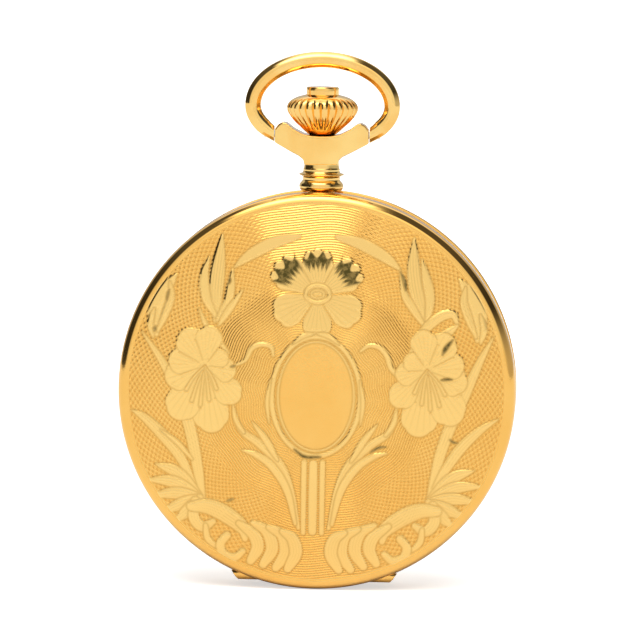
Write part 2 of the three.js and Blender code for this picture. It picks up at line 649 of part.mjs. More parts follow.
function balanceWheel() {
  const rim = turned([[5.5, -2.3], [6.1, -2.3], [6.1, -1.8], [5.5, -1.8]], 28);
  const arms = block([-5.7, 5.7], [-0.4, 0.4], [-2.2, -1.9]);
  const hub = disc(CENTRE, 0.9, -2.25, -1.85);
  const roller = disc(CENTRE, 0.7, -0.9, -0.7);
  const collet = disc(CENTRE, 0.6, -2.85, -2.2);
  const staff = join(disc(CENTRE, ARBOR, -3.55, 1, 10), roller, collet);
  const screws = Array.from({ length: RIM_SCREWS }, (_, i) => {
    const stub = new THREE.CylinderGeometry(0.2, 0.2, 0.6, 5).rotateZ(Math.PI / 2);
    return solid(stub.translate(6.25, 0, -2.05).rotateZ(((i + 0.5) / RIM_SCREWS) * TURN));
  });
  return join(rim, arms, hub, staff, ...screws).rotate([0, 0, 25]).translate([...BALANCE, 0]);
}

function hairspring() {
  return spiral(BALANCE, 0.8, 3.6, 3.5, 0.14, -2.8, -2.5);
}

function regulator() {
  const ring = disc(BALANCE, 1.5, -3.9, -3.65);
  const tail = link(BALANCE, 0.5, polar(4.2, 12, BALANCE), 0.25, -3.9, -3.65);
  return cut(join(ring, tail), hole(BALANCE, 0.7, -5, 0, COARSE));
}

function click() {
  const heading = Math.atan2(BARREL[1] - CLICK[1], BARREL[0] - CLICK[0]) / DEGREE;
  const beak = outline([polar(1, 100), [2.15, 0.5], [2.1, 0.05], polar(1, -60)]);
  const body = join(disc(CENTRE, 1, -3.45, -3.05), plate(beak, -3.45, -3.05));
  return cut(body, hole(CENTRE, 0.42, -4, -3)).rotate([0, 0, heading]).translate([...CLICK, 0]);
}

// A slotted cheese-head screw that points to +Z; headTop is the level of its head's face.
function screw([x, y], headTop, headHeight, length, headRadius = 0.85) {
  const head = disc([x, y], headRadius, headTop, headTop + headHeight);
  const shank = disc([x, y], 0.38, headTop, headTop + length, 6);
  const slot = block([x - 2, x + 2], [y - 0.12, y + 0.12], [headTop - 1, headTop + 0.15]);
  return cut(join(head, shank), slot);
}

function windingPinion() {
  const teeth = toothed(CENTRE, 12, 1.5, 0.35, 15.1, 16.6);
  return cut(teeth, hole(CENTRE, STEM_RADIUS + 0.04, 10, 20, COARSE)).rotate([-90, 0, 0]);
}

function slidingPinion() {
  return turnedOnStem([
    [0.57, 12.7], [1.3, 12.7], [1.3, 13.2], [1, 13.3], [1, 13.8], [1.3, 13.9], [1.3, 14.7], [0.57, 14.7],
  ], 14);
}

function cannonPinion() {
  const leaves = toothed(CENTRE, 12, 1.12, 0.25, 1.8, 2.15);
  return cut(join(leaves, disc(CENTRE, 0.7, 1.8, 3.95)), hole(CENTRE, ARBOR + 0.03, 0, 5));
}

function hourWheel() {
  const teeth = toothed(CENTRE, 20, 3.3, 0.3, 2.22, 2.45);
  return cut(join(teeth, disc(CENTRE, 1.1, 2.22, 3.46)), hole(CENTRE, 0.74, 0, 5, COARSE));
}

function minuteWheel() {
  const teeth = toothed(MINUTE_WHEEL, 18, 3, 0.3, 1.8, 2);
  const pinion = toothed(MINUTE_WHEEL, 10, 0.83, 0.2, 1.9, 2.42);
  return cut(join(teeth, pinion), hole(MINUTE_WHEEL, 0.34, 0, 5));
}

function settingWheel() {
  const teeth = toothed(SETTING_WHEEL, 13, 2.2, 0.3, 1.8, 2);
  return cut(teeth, hole(SETTING_WHEEL, 0.34, 0, 5));
}

// ---- assembly -----------------------------------------------------------------------------------

const watch = new THREE.Group();

function add(name, body, finish) {
  const mesh = new THREE.Mesh(geometryOf(body), new THREE.MeshStandardMaterial(finish));
  mesh.name = name;
  watch.add(mesh);
}

const CUVETTE_PIN_END = 3.2;
const cuvettePin = rodAlongX(
  CUVETTE_PIN, -CUVETTE_PIN_END, CUVETTE_PIN_END, CUVETTE_HINGE_Y, CUVETTE_HINGE_Z, 8,
);

add('case_middle', caseMiddle(), GOLD);
add('pendant', pendant(), POLISHED_GOLD);
add('bow', bow(), POLISHED_GOLD);
add('bow_screw_left', bowScrew(-1), STEEL);
add('bow_screw_right', bowScrew(1), STEEL);
add('front_lid', lid(1), GOLD);
add('front_hinge_pin', hingePin(1), GOLD);
add('back_cover', lid(-1), GOLD);
add('back_hinge_pin', hingePin(-1), GOLD);
add('cuvette', cuvette(), POLISHED_GOLD);
add('cuvette_hinge_pin', cuvettePin, GOLD);
add('lock_spring', lockSpring(), STEEL);
add('lift_spring', liftSpring(), STEEL);
add('bezel', bezel(), POLISHED_GOLD);
add('crystal', crystal(), GLASS);
add('crown', crown(), POLISHED_GOLD);
add('crown_stem', crownStem(), STEEL);
add('crown_button', crownButton(), POLISHED_GOLD);

add('dial', dial(), ENAMEL);
add('hour_hand', hand({
  hub: 1.5, bore: 1.14, length: 9.6, width: 1.1, tail: 0.9, clockAngle: HOUR_ANGLE, centre: CENTRE,
  level: [3.22, 3.4],
}), BLUED_STEEL);
add('minute_hand', hand({
  hub: 1.15, bore: 0.74, length: 15.6, width: 0.9, tail: 0.9, clockAngle: MINUTE_ANGLE, centre: CENTRE,
  level: [3.66, 3.84],
}), BLUED_STEEL);
add('seconds_hand', hand({
  hub: 0.55, bore: ARBOR + 0.03, length: 3.7, width: 0.25, tail: 1.4, clockAngle: SECOND_ANGLE,
  centre: FOURTH, level: [3.3, 3.42],
}), BLUED_STEEL);

add('mainplate', mainplate(), GILT);
add('barrel_bridge', barrelBridge(), GILT);
add('train_bridge', trainBridge(), GILT);
add('balance_cock', balanceCock(), GILT);
add('pallet_bridge', palletBridge(), GILT);
add('barrel_drum', barrelDrum(), BRASS);
add('barrel_cover', cut(disc(BARREL, 7.2, -0.95, -0.8, 28), hole(BARREL, 0.84, -2, 0, COARSE)), BRASS);
add('mainspring', spiral(BARREL, 2, 6.7, 3.5, 0.45, -0.7, -0.15), BLUED_STEEL);
add('barrel_arbor', barrelArbor(), STEEL);

const ratchetTeeth = toothed(BARREL, 40, 5.6, 0.4, ...WINDING_LEVEL);
const crownTeeth = toothed(CROWN_WHEEL, 30, 4.25, 0.4, ...WINDING_LEVEL);
add('ratchet_wheel', cut(ratchetTeeth, hole(BARREL, 0.84, -4, 0, COARSE)), STEEL);
add('crown_wheel', cut(crownTeeth, hole(CROWN_WHEEL, 0.42, -4, 0)), STEEL);
add('crown_wheel_screw', screw(CROWN_WHEEL, -3.75, 0.3, 2.2, 1.6), STEEL);
add('click', click(), STEEL);

add('centre_wheel', trainWheel(
  CENTRE,
  { teeth: 32, radius: 5.95, depth: 0.35, level: [-1.45, -1.2] },
  { leaves: 10, radius: 1.12, level: [-1.3, 0.25] },
  [-2.6, 4],
), BRASS);
add('third_wheel', trainWheel(
  THIRD,
  { teeth: 30, radius: 5.2, depth: 0.3, level: [-0.2, 0.05] },
  { leaves: 8, radius: 0.74, level: [-1.6, -0.1] },
  [-2.6, 1],
), BRASS);
add('fourth_wheel', trainWheel(
  FOURTH,
  { teeth: 28, radius: 4, depth: 0.25, level: [-1.1, -0.85] },
  { leaves: 8, radius: 0.64, level: [-1, 0.3] },
  [-2.6, 3.55],
), BRASS);
add('escape_wheel', escapeWheel(), STEEL);
add('pallet_fork', palletFork(), STEEL);
add('balance_wheel', balanceWheel(), BRASS);
add('hairspring', hairspring(), BLUED_STEEL);
add('regulator', regulator(), STEEL);
add('winding_pinion', windingPinion(), STEEL);
add('sliding_pinion', slidingPinion(), STEEL);
add('cannon_pinion', cannonPinion(), STEEL);
add('hour_wheel', hourWheel(), BRASS);
add('minute_wheel', minuteWheel(), BRASS);
add('setting_wheel', settingWheel(), STEEL);

const BRIDGE_FEET = { barrel_bridge: BARREL_BRIDGE_FEET, train_bridge: TRAIN_BRIDGE_FEET };
Object.entries(BRIDGE_FEET).forEach(([bridge, places]) => {
  places.forEach((at, i) => add(`${bridge}_screw_${i + 1}`, screw(at, -3.4, 0.35, 2.8), BLUED_STEEL));
});
add('balance_cock_screw', screw(COCK_FOOT, -4, 0.35, 3), BLUED_STEEL);
CASE_SCREW_ANGLES.forEach((angle, i) => {
  add(`case_screw_${i + 1}`, screw(polar(CASE_SCREW_AT, angle), 0.02, 0.32, 1.5), BLUED_STEEL);
});

// Stand the watch up: the dial side to -Y, the pendant to +Z and the rim's lowest point on z = 0.
watch.rotation.x = Math.PI / 2;
watch.position.z = CASE_RADIUS;

const object = new THREE.Group();
object.add(watch);

export default object;
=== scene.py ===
"""Hunter pocket watch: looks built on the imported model.

Shapes are drawn in the watch's own frame, in millimetres: u to the right, v to the pendant, w out of
the dial, from the case's centre. place() stands them up in the row's frame, in metres.
"""

import json
from math import acos, cos, degrees, pi, radians, sin, sqrt

import bmesh
import bpy
import numpy as np
from mathutils import Matrix, Vector


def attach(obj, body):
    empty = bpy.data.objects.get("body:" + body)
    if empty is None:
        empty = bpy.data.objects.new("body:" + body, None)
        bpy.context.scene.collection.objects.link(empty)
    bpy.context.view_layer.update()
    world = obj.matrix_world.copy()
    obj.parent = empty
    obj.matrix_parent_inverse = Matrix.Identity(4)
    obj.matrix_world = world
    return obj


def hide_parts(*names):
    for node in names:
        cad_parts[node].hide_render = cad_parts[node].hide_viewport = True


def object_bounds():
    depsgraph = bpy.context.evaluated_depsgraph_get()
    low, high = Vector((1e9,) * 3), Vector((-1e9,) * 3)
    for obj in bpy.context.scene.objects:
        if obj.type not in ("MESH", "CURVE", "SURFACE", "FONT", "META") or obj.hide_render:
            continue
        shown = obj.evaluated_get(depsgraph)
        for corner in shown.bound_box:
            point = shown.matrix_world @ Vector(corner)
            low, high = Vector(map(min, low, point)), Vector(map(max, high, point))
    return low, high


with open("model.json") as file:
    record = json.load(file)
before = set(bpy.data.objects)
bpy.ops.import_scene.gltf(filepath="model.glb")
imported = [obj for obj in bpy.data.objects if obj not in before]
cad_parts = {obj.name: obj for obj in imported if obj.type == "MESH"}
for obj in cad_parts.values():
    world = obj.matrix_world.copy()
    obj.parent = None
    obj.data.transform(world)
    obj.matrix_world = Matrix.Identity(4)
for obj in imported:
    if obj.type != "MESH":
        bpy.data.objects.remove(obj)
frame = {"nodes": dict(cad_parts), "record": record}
cad_low, cad_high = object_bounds()

MM = 0.001
# Lengths below are in millimetres.
CENTRE_HEIGHT = 25.0
CASE_RADIUS = 25.0
LID_APEX = 7.0
FIELD_RADIUS = 23.7
FIELD_DROP = 2.0
RIM_LEVEL = 3.3
LID_EDGE = 2.2
LID_THICKNESS = 0.5
HINGE_V = -23.5
HINGE_W = 2.7
KNUCKLE = 0.6
BAND_RADIUS = 24.8
HINGE_SEAT_V = -22.6
CUVETTE_HINGE = (-22.55, -3.85)
CUVETTE_KNUCKLES = (1.22, 3.6, 0.35)
BOW_PIVOT_V = 32.1
DIAL_FACE = 3.03
SINK_FACE = DIAL_FACE - 0.12
DIAL_BACK = 2.53
DIAL_RADIUS = 20.9
FOURTH = (11.0, 0.0)

GOLD = (0.98, 0.60, 0.17)
# Paler gold: a random lighter tone of the polished gold, and a painted sheen on the lid's raised motifs.
BRIGHT_GOLD = (1.0, 0.69, 0.24)
GROUND_GOLD = (0.95, 0.535, 0.13)
# Painted shade along engraved lines, grooves and hatching.
LINE_SHADE_GOLD = (0.50, 0.26, 0.05)
# Painted shade that darkens the valleys of the turned waves.
VALLEY_SHADE_GOLD = (0.74, 0.36, 0.07)
# Painted dark reflection of the bright cuts.
DARK_REFLECTION_GOLD = (0.10, 0.075, 0.02)


# ---- meshes ----


def place(points):
    """Watch-frame points in millimetres, as an array of row-frame points in metres."""
    p = np.asarray(points, float)
    return np.stack([p[:, 0], -p[:, 2], p[:, 1] + CENTRE_HEIGHT], axis=1) * MM


def link(name, data):
    """A new object in the scene."""
    piece = bpy.data.objects.new(name, data)
    bpy.context.scene.collection.objects.link(piece)
    return piece


def solid(name, points, faces):
    """An object from watch-frame points, its faces turned outwards."""
    mesh = bpy.data.meshes.new(name)
    mesh.from_pydata(place(points).tolist(), [], [list(f) for f in faces])
    mesh.validate()
    bm = bmesh.new()
    bm.from_mesh(mesh)
    bmesh.ops.recalc_face_normals(bm, faces=bm.faces)
    bm.to_mesh(mesh)
    bm.free()
    return link(name, mesh)


def shade_smooth(mesh, smooth=True):
    mesh.polygons.foreach_set("use_smooth", [smooth] * len(mesh.polygons))


def dress(piece, material, body, nodes):
    """Gives a piece its material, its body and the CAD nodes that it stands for."""
    piece.data.materials.append(material)
    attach(piece, body)
    if nodes:
        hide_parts(*nodes)
    return piece


def make(name, points, faces, material, body, slot, nodes=(), smooth=True):
    """A mesh piece that rides on a body and may stand for CAD nodes."""
    piece = solid(name, points, faces)
    shade_smooth(piece.data, smooth)
    return dress(piece, material, body, nodes)


def sharpen(piece, angle):
    """Smooth shading that breaks at edges sharper than the angle."""
    bm = bmesh.new()
    bm.from_mesh(piece.data)
    limit = radians(angle)
    for edge in bm.edges:
        if len(edge.link_faces) == 2 and edge.calc_face_angle(0) > limit:
            edge.smooth = False
    bm.to_mesh(piece.data)
    bm.free()
    shade_smooth(piece.data)
    piece.data.update()


def grid_faces(rows, columns, closed_rows=False, closed_columns=True):
    """Quads over a grid of rows by columns, whose columns run fastest."""
    faces = []
    for i in range(rows if closed_rows else rows - 1):
        a, b = i * columns, (i + 1) % rows * columns
        for j in range(columns if closed_columns else columns - 1):
            k = (j + 1) % columns
            faces.append((a + j, a + k, b + k, b + j))
    return faces


BOX_FACES = [(0, 1, 2, 3), (4, 5, 6, 7), (0, 1, 5, 4), (1, 2, 6, 5), (2, 3, 7, 6), (3, 0, 4, 7)]


def shifted(faces, first):
    return [tuple(first + i for i in face) for face in faces]


def turned(profile, segments, along="w", at=(0.0, 0.0), wave=None):
    """Points and faces of a closed profile of (radius, height) turned about w, or about v for the stem."""
    turn = np.arange(segments) * 2 * pi / segments
    points = []
    for radius, height in profile:
        r = np.full(segments, float(radius)) if wave is None else wave(radius, height, turn)
        x, y = r * np.cos(turn), r * np.sin(turn)
        level = np.full(segments, float(height))
        rows = [x + at[0], y + at[1], level] if along == "w" else [x, level, y]
        points.append(np.stack(rows, axis=1))
    return np.concatenate(points), grid_faces(len(profile), segments, closed_rows=True)


def rounded(profile, radius, steps=4):
    """A closed profile with its corners cut to short arcs."""
    corners = [np.array(corner, float) for corner in profile]
    out = []
    for i, c in enumerate(corners):
        before, after = corners[i - 1] - c, corners[(i + 1) % len(corners)] - c
        cut = min(radius, 0.45 * np.linalg.norm(before), 0.45 * np.linalg.norm(after))
        p = c + before / np.linalg.norm(before) * cut
        q = c + after / np.linalg.norm(after) * cut
        for t in (k / steps for k in range(steps + 1)):
            out.append(tuple((1 - t) ** 2 * p + 2 * t * (1 - t) * c + t * t * q))
    return out


def curve_through(points, steps):
    """A Catmull-Rom line through the points."""
    p = np.asarray(points, float)
    p = np.concatenate([2 * p[:1] - p[1:2], p, 2 * p[-1:] - p[-2:-1]])
    line = []
    for a, b, c, d in zip(p, p[1:], p[2:], p[3:]):
        for t in (k / steps for k in range(steps)):
            line.append(0.5 * (
                2 * b + (c - a) * t + (2 * a - 5 * b + 4 * c - d) * t**2 + (3 * b - a - 3 * c + d) * t**3
            ))
    line.append(p[-2])
    return np.array(line)


# ---- materials ----


class Graph:
    """A short way to write a node tree."""

    def __init__(self, tree):
        self.tree = tree
        tree.nodes.clear()

    def new(self, kind):
        return self.tree.nodes.new("ShaderNode" + kind)

    def put(self, socket, value):
        if isinstance(value, bpy.types.NodeSocket):
            self.tree.links.new(value, socket)
        elif isinstance(value, tuple) and socket.type == "RGBA":
            socket.default_value = (*value, 1.0)
        else:
            socket.default_value = value

    def math(self, operation, *values, clamp=False):
        node = self.new("Math")
        node.operation, node.use_clamp = operation, clamp
        for socket, value in zip(node.inputs, values):
            self.put(socket, value)
        return node.outputs[0]

    def add(self, a, b):
        return self.math("ADD", a, b)

    def times(self, a, b):
        return self.math("MULTIPLY", a, b)

    def between(self, value, low, high, to_low=0.0, to_high=1.0):
        node = self.new("MapRange")
        node.interpolation_type = "SMOOTHSTEP"
        for socket, item in zip(node.inputs, (value, low, high, to_low, to_high)):
            self.put(socket, item)
        return node.outputs[0]

    def split(self, vector):
        node = self.new("SeparateXYZ")
        self.put(node.inputs[0], vector)
        return node.outputs


class Nodes(Graph):
    """A material on one principled shader."""

    def __init__(self, name):
        self.material = bpy.data.materials.new(name)
        self.material.use_nodes = True
        super().__init__(self.material.node_tree)
        self.shader = self.new("BsdfPrincipled")
        self.tree.links.new(self.shader.outputs[0], self.new("OutputMaterial").inputs["Surface"])
        self.object = self.new("TexCoord").outputs["Object"]

    def set(self, **values):
        for name, value in values.items():
            self.put(self.shader.inputs[name.replace("_", " ")], value)

    def noise(self, scale, detail=3.0, stretch=None, roughness=0.55):
        vector = self.object
        if stretch:
            node = self.new("Mapping")
            self.put(node.inputs["Vector"], vector)
            node.inputs["Scale"].default_value = stretch
            vector = node.outputs[0]
        node = self.new("TexNoise")
        values = {"Vector": vector, "Scale": scale, "Detail": detail, "Roughness": roughness}
        for name, value in values.items():
            self.put(node.inputs[name], value)
        return node.outputs["Fac"]

    def mix(self, factor, a, b):
        node = self.new("Mix")
        node.data_type = "RGBA"
        for index, value in ((0, factor), (6, a), (7, b)):
            self.put(node.inputs[index], value)
        return node.outputs[2]

    def bump(self, height, distance, normal=None):
        node = self.new("Bump")
        node.inputs["Distance"].default_value = distance
        self.put(node.inputs["Height"], height)
        if normal:
            self.put(node.inputs["Normal"], normal)
        return node.outputs[0]

    def attribute(self, name):
        node = self.new("Attribute")
        node.attribute_name = name
        return node.outputs["Fac"]


def polished_metal(name, dark, light, rough=0.1, wear=0.08, grain=0.0000008):
    """Polished metal with faint swirls from handling and soft changes of tone."""
    n = Nodes(name)
    cloud = n.noise(160.0, 3.0)
    hair = n.noise(5200.0, 4.0, stretch=(1.0, 1.0, 0.12))
    tone = n.mix(n.between(cloud, 0.3, 0.7), dark, light)
    n.set(Base_Color=tone, Metallic=1.0)
    n.set(Roughness=n.add(rough, n.times(n.between(hair, 0.45, 0.75), wear)))
    n.set(Normal=n.bump(hair, grain))
    return n.material


def coloured(name, dark, light, rough, coat, grain=0.000002, scale=900.0):
    """A finish with a fine grain and a slight change of tone."""
    n = Nodes(name)
    cloud = n.noise(scale / 6, 2.0)
    fine = n.noise(scale, 4.0)
    n.set(Base_Color=n.mix(n.between(cloud, 0.3, 0.7), dark, light), Metallic=0.0)
    n.set(Roughness=n.between(fine, 0.3, 0.7, rough * 0.85, rough * 1.15))
    n.set(Coat_Weight=coat, Normal=n.bump(fine, grain))
    return n.material


def engine_turned(name):
    """The lid: rings of fine waves and barleycorn on the ground, satin relief and bright cuts, with painted
    shade in the wave valleys and along engraved lines, a painted sheen on the raised motifs and a painted
    dark reflection in the cuts.
    """
    n = Nodes(name)
    x, _, z = n.split(n.object)
    u = n.times(x, 1000.0)
    v = n.add(n.times(z, 1000.0), -CENTRE_HEIGHT)
    radius = n.math("SQRT", n.add(n.times(u, u), n.times(v, v)))
    angle = n.math("ARCTAN2", v, u)
    lobes = n.times(n.math("SINE", n.times(angle, 12.0)), 0.2)
    ring = n.add(radius, lobes)
    lines = n.math("SINE", n.times(ring, 2 * pi / 0.31))
    corn_along = n.math("SINE", n.times(angle, 150.0))
    corn_across = n.math("SINE", n.times(n.add(radius, n.times(lobes, 0.4)), 2 * pi / 0.62))
    corn = n.times(corn_along, corn_across)
    side = n.math("ABSOLUTE", n.math("COSINE", angle))
    outer = n.times(n.between(radius, 12.5, 16.5), n.between(side, 0.22, 0.5))
    motif = n.attribute("motif")
    cut = n.attribute("cut")
    field = n.attribute("field")
    waves = n.add(n.times(lines, n.between(outer, 0.0, 1.0, 1.0, 0.0)), n.times(corn, outer))
    ground = n.times(n.math("SUBTRACT", 1.0, motif, clamp=True), field)
    brushed = n.noise(2600.0, 4.0)
    cloud = n.noise(110.0, 3.0)
    strokes = n.noise(1500.0, roughness=0.7)
    middle = n.between(radius, 6.0, 17.0, 0.55, 1.0)
    lined = n.bump(n.times(n.times(waves, n.times(middle, 0.5)), ground), 0.000062)
    grain = n.times(n.add(brushed, strokes), n.between(field, 0.0, 1.0, 0.15, 1.0))
    # Painted shade: the troughs of the turned waves are darkened in the colour.
    valley_shade = n.times(n.between(waves, -0.9, 0.6, 1.0, 0.0), ground)
    tone = n.mix(n.between(cloud, 0.32, 0.68), GROUND_GOLD, (0.97, 0.575, 0.155))
    tone = n.mix(n.times(n.times(valley_shade, middle), 0.75), tone, VALLEY_SHADE_GOLD)
    # Painted sheen: the raised motifs are painted a paler gold.
    tone = n.mix(n.times(n.attribute("bright"), 0.7), tone, BRIGHT_GOLD)
    # Painted shade along the engraved lines, grooves and hatching.
    tone = n.mix(n.times(n.attribute("line"), 0.5), tone, LINE_SHADE_GOLD)
    # Painted reflection: the bright cuts are painted near black, as if they mirrored a dark surround.
    tone = n.mix(n.times(cut, n.between(strokes, 0.35, 0.6, 0.75, 1.0)), tone, DARK_REFLECTION_GOLD)
    satin = n.add(n.times(ground, 0.10), n.times(n.between(brushed, 0.3, 0.7), 0.10))
    n.set(Roughness=n.add(0.09, n.times(satin, field)))
    n.set(Base_Color=tone, Metallic=1.0, Normal=n.bump(grain, 0.000009, lined))
    return n.material


LID_METAL = engine_turned("engine_turned_gold")
POLISHED = polished_metal("polished_gold", (0.96, 0.57, 0.16), BRIGHT_GOLD, 0.07, 0.06)
BAND_METAL = polished_metal("band_gold", (0.93, 0.54, 0.15), GOLD, 0.12, 0.10)
STEEL = polished_metal("polished_steel", (0.46, 0.47, 0.49), (0.62, 0.63, 0.66), 0.16, 0.12)
BLUED = polished_metal("heat_blued_steel", (0.012, 0.03, 0.17), (0.02, 0.06, 0.30), 0.16, 0.08)
BRASS = polished_metal("satin_brass", (0.62, 0.42, 0.15), (0.75, 0.52, 0.21), 0.28, 0.12)


# ---- the engraved lid ----


GROOVE_DEPTH = 0.025
GROOVE_WIDTH = 0.17
LINE_WIDTH = 0.11
EDGE_WIDTH = 0.22


def unit(value):
    return np.clip(value, 0, 1)


def ridge(distance, width):
    return np.exp(-((distance / width) ** 2))


class Relief:
    """Low relief over points u, v on a lid, in millimetres."""

    def __init__(self, u, v):
        self.u, self.v = u, v
        # line is painted shade along engraved lines.
        self.height, self.motif, self.bright, self.line, self.cut = (np.zeros_like(u) for _ in range(5))

    def near(self, points, margin):
        low, high = np.min(points, 0) - margin, np.max(points, 0) + margin
        inside = (self.u > low[0]) & (self.u < high[0]) & (self.v > low[1]) & (self.v < high[1])
        return np.nonzero(inside)[0]

    def lay(self, index, height, edge, cut=0.0):
        """Lays a motif over what is there: edge is 1 inside it and 0 outside."""
        self.height[index] = np.maximum(self.height[index] * (1 - edge), 0) + height * edge
        self.motif[index] = np.maximum(self.motif[index], edge)
        # bright carries the painted sheen of the raised motif.
        self.bright[index] = np.maximum(self.bright[index], edge)
        self.line[index] = self.line[index] * (1 - edge)
        # cut carries the painted dark reflection of a bright cut.
        self.cut[index] = self.cut[index] * (1 - edge) + cut * edge

    def paint_line_shade(self, index, amount):
        """Paints shade into the points along an engraved line, of 0 to 1."""
        self.line[index] = np.maximum(self.line[index], amount)

    def groove(self, index, distance):
        self.height[index] -= GROOVE_DEPTH * ridge(distance, GROOVE_WIDTH)
        # The groove is cut into the height, and its line is darkened as painted shade.
        self.paint_line_shade(index, ridge(distance, LINE_WIDTH))

    def soften(self, passes, scale):
        """Rounds the relief as stamping does, over its square grid of points."""
        n = int(round(sqrt(len(self.u))))
        for _ in range(passes):
            h = np.pad(self.height.reshape(n, n), 1, mode="edge")
            h = (h[:-2] + 2 * h[1:-1] + h[2:]) / 4
            self.height = ((h[:, :-2] + 2 * h[:, 1:-1] + h[:, 2:]) / 4).ravel()
        self.height *= scale

    def to_line(self, index, line):
        """Signed distance from a line, and how far along it each point lies."""
        p = np.stack([self.u[index], self.v[index]], axis=1)[:, None, :]
        a, b = line[:-1][None], line[1:][None]
        ab = b - a
        t = np.clip(((p - a) * ab).sum(2) / np.maximum((ab * ab).sum(2), 1e-9), 0, 1)
        off = p - (a + t[..., None] * ab)
        distance = np.sqrt((off * off).sum(2))
        nearest = distance.argmin(1)
        row = np.arange(len(index))
        ahead, aside = ab[0][nearest], off[row, nearest]
        side = np.sign(ahead[:, 0] * aside[:, 1] - ahead[:, 1] * aside[:, 0])
        return distance[row, nearest] * side, (nearest + t[row, nearest]) / (len(line) - 1)

    def stroke(self, points, widths, height, vein=0.0, cut=0.0):
        """A tapered blade along a line. widths are half widths at its start, middle and end."""
        line = curve_through(points, 7)
        index = self.near(line, max(widths) + 0.5)
        distance, along = self.to_line(index, line)
        start, middle, end = widths
        width = start * (1 - along) * (1 - 2 * along) + 4 * middle * along * (1 - along)
        width = np.maximum(width + end * along * (2 * along - 1), 0.06)
        s = distance / width
        body = unit(1 - s * s) ** 0.5 * (1 + 0.35 * s) - vein * ridge(distance, 0.13)
        edge = unit((width - np.abs(distance)) / EDGE_WIDTH + 0.5)
        self.lay(index, height * body, edge, cut)
        self.groove(index, np.abs(distance) - width - 0.05)
        if vein:
            # Hatching drawn only as painted shade along the vein.
            hatch = np.abs(np.sin(distance * 9 + 1)) ** 12 * unit(1.2 * np.sin(pi * along))
            self.paint_line_shade(index, vein * 1.6 * hatch * edge)

    def draw(self, strokes, side=1):
        """Lays strokes in turn, mirrored across the upright where side is -1."""
        for points, *rest in strokes:
            self.stroke([(side * u, v) for u, v in points], *rest)

    def fan(self, centre, heading, spread, reach):
        """Points near a centre: their distances, and their places across a fan from -1 to 1."""
        centre = np.array(centre, float)
        index = self.near(np.array([centre]), reach)
        du, dv = self.u[index] - centre[0], self.v[index] - centre[1]
        turn = np.arctan2(dv, du) - radians(heading)
        turn = (turn + pi) % (2 * pi) - pi
        return index, np.hypot(du, dv), turn / radians(spread)

    def petal(self, centre, heading, length, spread, height, ruffle, lobes, rib=0.08):
        """A fan-shaped petal from a centre, with a ruffled edge and ribs."""
        index, r, across = self.fan(centre, heading, spread, length * 1.25)
        gap = (1 - np.abs(across)) * r * radians(spread)
        rim = length * (1 - 0.32 * unit(np.abs(across)) ** 3)
        rim = rim * (1 - ruffle + 1.6 * ruffle * np.abs(np.cos(lobes * pi / 2 * across)))
        edge = unit(np.minimum(rim - r, gap) / EDGE_WIDTH + 0.5)
        share = unit(r / rim)
        swell = share**1.3 * unit(1 - np.abs(across) ** 4) * 0.8 + 0.2
        ribs = rib * np.cos(across * 16) * share
        self.lay(index, height * (swell + ribs + 0.3 * ridge(rim - r, 0.35)), edge)
        self.groove(index, np.where(np.abs(across) < 1.1, rim + 0.06 - r, 9.0))
        # Rib lines and the gaps between petals drawn only as painted shade.
        self.paint_line_shade(index, 0.6 * np.abs(np.sin(across * 11 + length)) ** 14 * (1 - share) ** 0.5 * edge)
        self.paint_line_shade(index, 0.8 * (ridge(gap, 0.10) * (share < 1) * (share > 0.2)))

    def paint_dark_reflection(self, centre, heading, spread, inner, outer, bites):
        """A painted dark reflection across a petal, standing for a mirror-bright cut: rounded bites outside,
        and streaks that fade inside.
        """
        index, r, across = self.fan(centre, heading, spread, outer * 1.1)
        rim = outer * (1 - 0.17 * np.abs(np.cos(bites * pi / 2 * across)))
        edge = unit((rim - r) / 0.16 + 0.5) * unit((1 - np.abs(across)) * r * radians(spread) / 0.3)
        streaks = 0.30 * np.sin(17 * across + outer) + 0.22 * np.sin(41 * across + 1)
        self.cut[index] = np.maximum(self.cut[index], edge * unit((r - inner - streaks) / 0.55))

    def oval(self, centre, half, width, height):
        """A raised oval line."""
        centre, half = np.array(centre, float), np.array(half, float)
        index = self.near(np.array([centre - half, centre + half]), width + 0.4)
        du, dv = self.u[index] - centre[0], self.v[index] - centre[1]
        scaled = np.hypot(du / half[0], dv / half[1])
        distance = (scaled - 1) * np.hypot(du, dv) / np.maximum(scaled, 1e-6)
        s = distance / width
        edge = unit((width - np.abs(distance)) / 0.1 + 0.5)
        self.lay(index, height * unit(1 - s * s) ** 0.5, edge)
        self.groove(index, np.abs(distance) - width - 0.05)

    def plain(self, centre, half):
        """A polished oval reserve with no turning."""
        scaled = np.hypot((self.u - centre[0]) / half[0], (self.v - centre[1]) / half[1])
        edge = unit((1 - scaled) * min(half) / 0.12 + 0.5)
        self.motif = np.maximum(self.motif, edge)
        for layer in (self.bright, self.line, self.height):
            layer *= 1 - edge


def flower(relief):
    """The open flower above the reserve: six petals, the upper three with a painted dark reflection for their
    bright cuts.
    """
    at = (0.1, 12.3)
    for heading, length, spread in ((207, 5.9, 30), (333, 5.9, 30), (270, 5.0, 31)):
        relief.petal(at, heading, length, spread, 0.15, 0.03, 3)
    for heading, length, spread in ((144, 6.5, 28), (36, 6.2, 28), (91, 5.7, 29)):
        relief.petal(at, heading, length, spread, 0.15, 0.05, 4)
    for heading, spread, inner, outer in ((142, 23, 3.6, 6.5), (38, 22, 3.5, 6.2), (92, 24, 3.3, 5.7)):
        relief.paint_dark_reflection(at, heading, spread, inner, outer, 3)
    relief.oval((0.1, 12.5), (1.5, 1.05), 0.24, 0.16)
    relief.oval((0.1, 12.5), (0.8, 0.5), 0.14, 0.12)


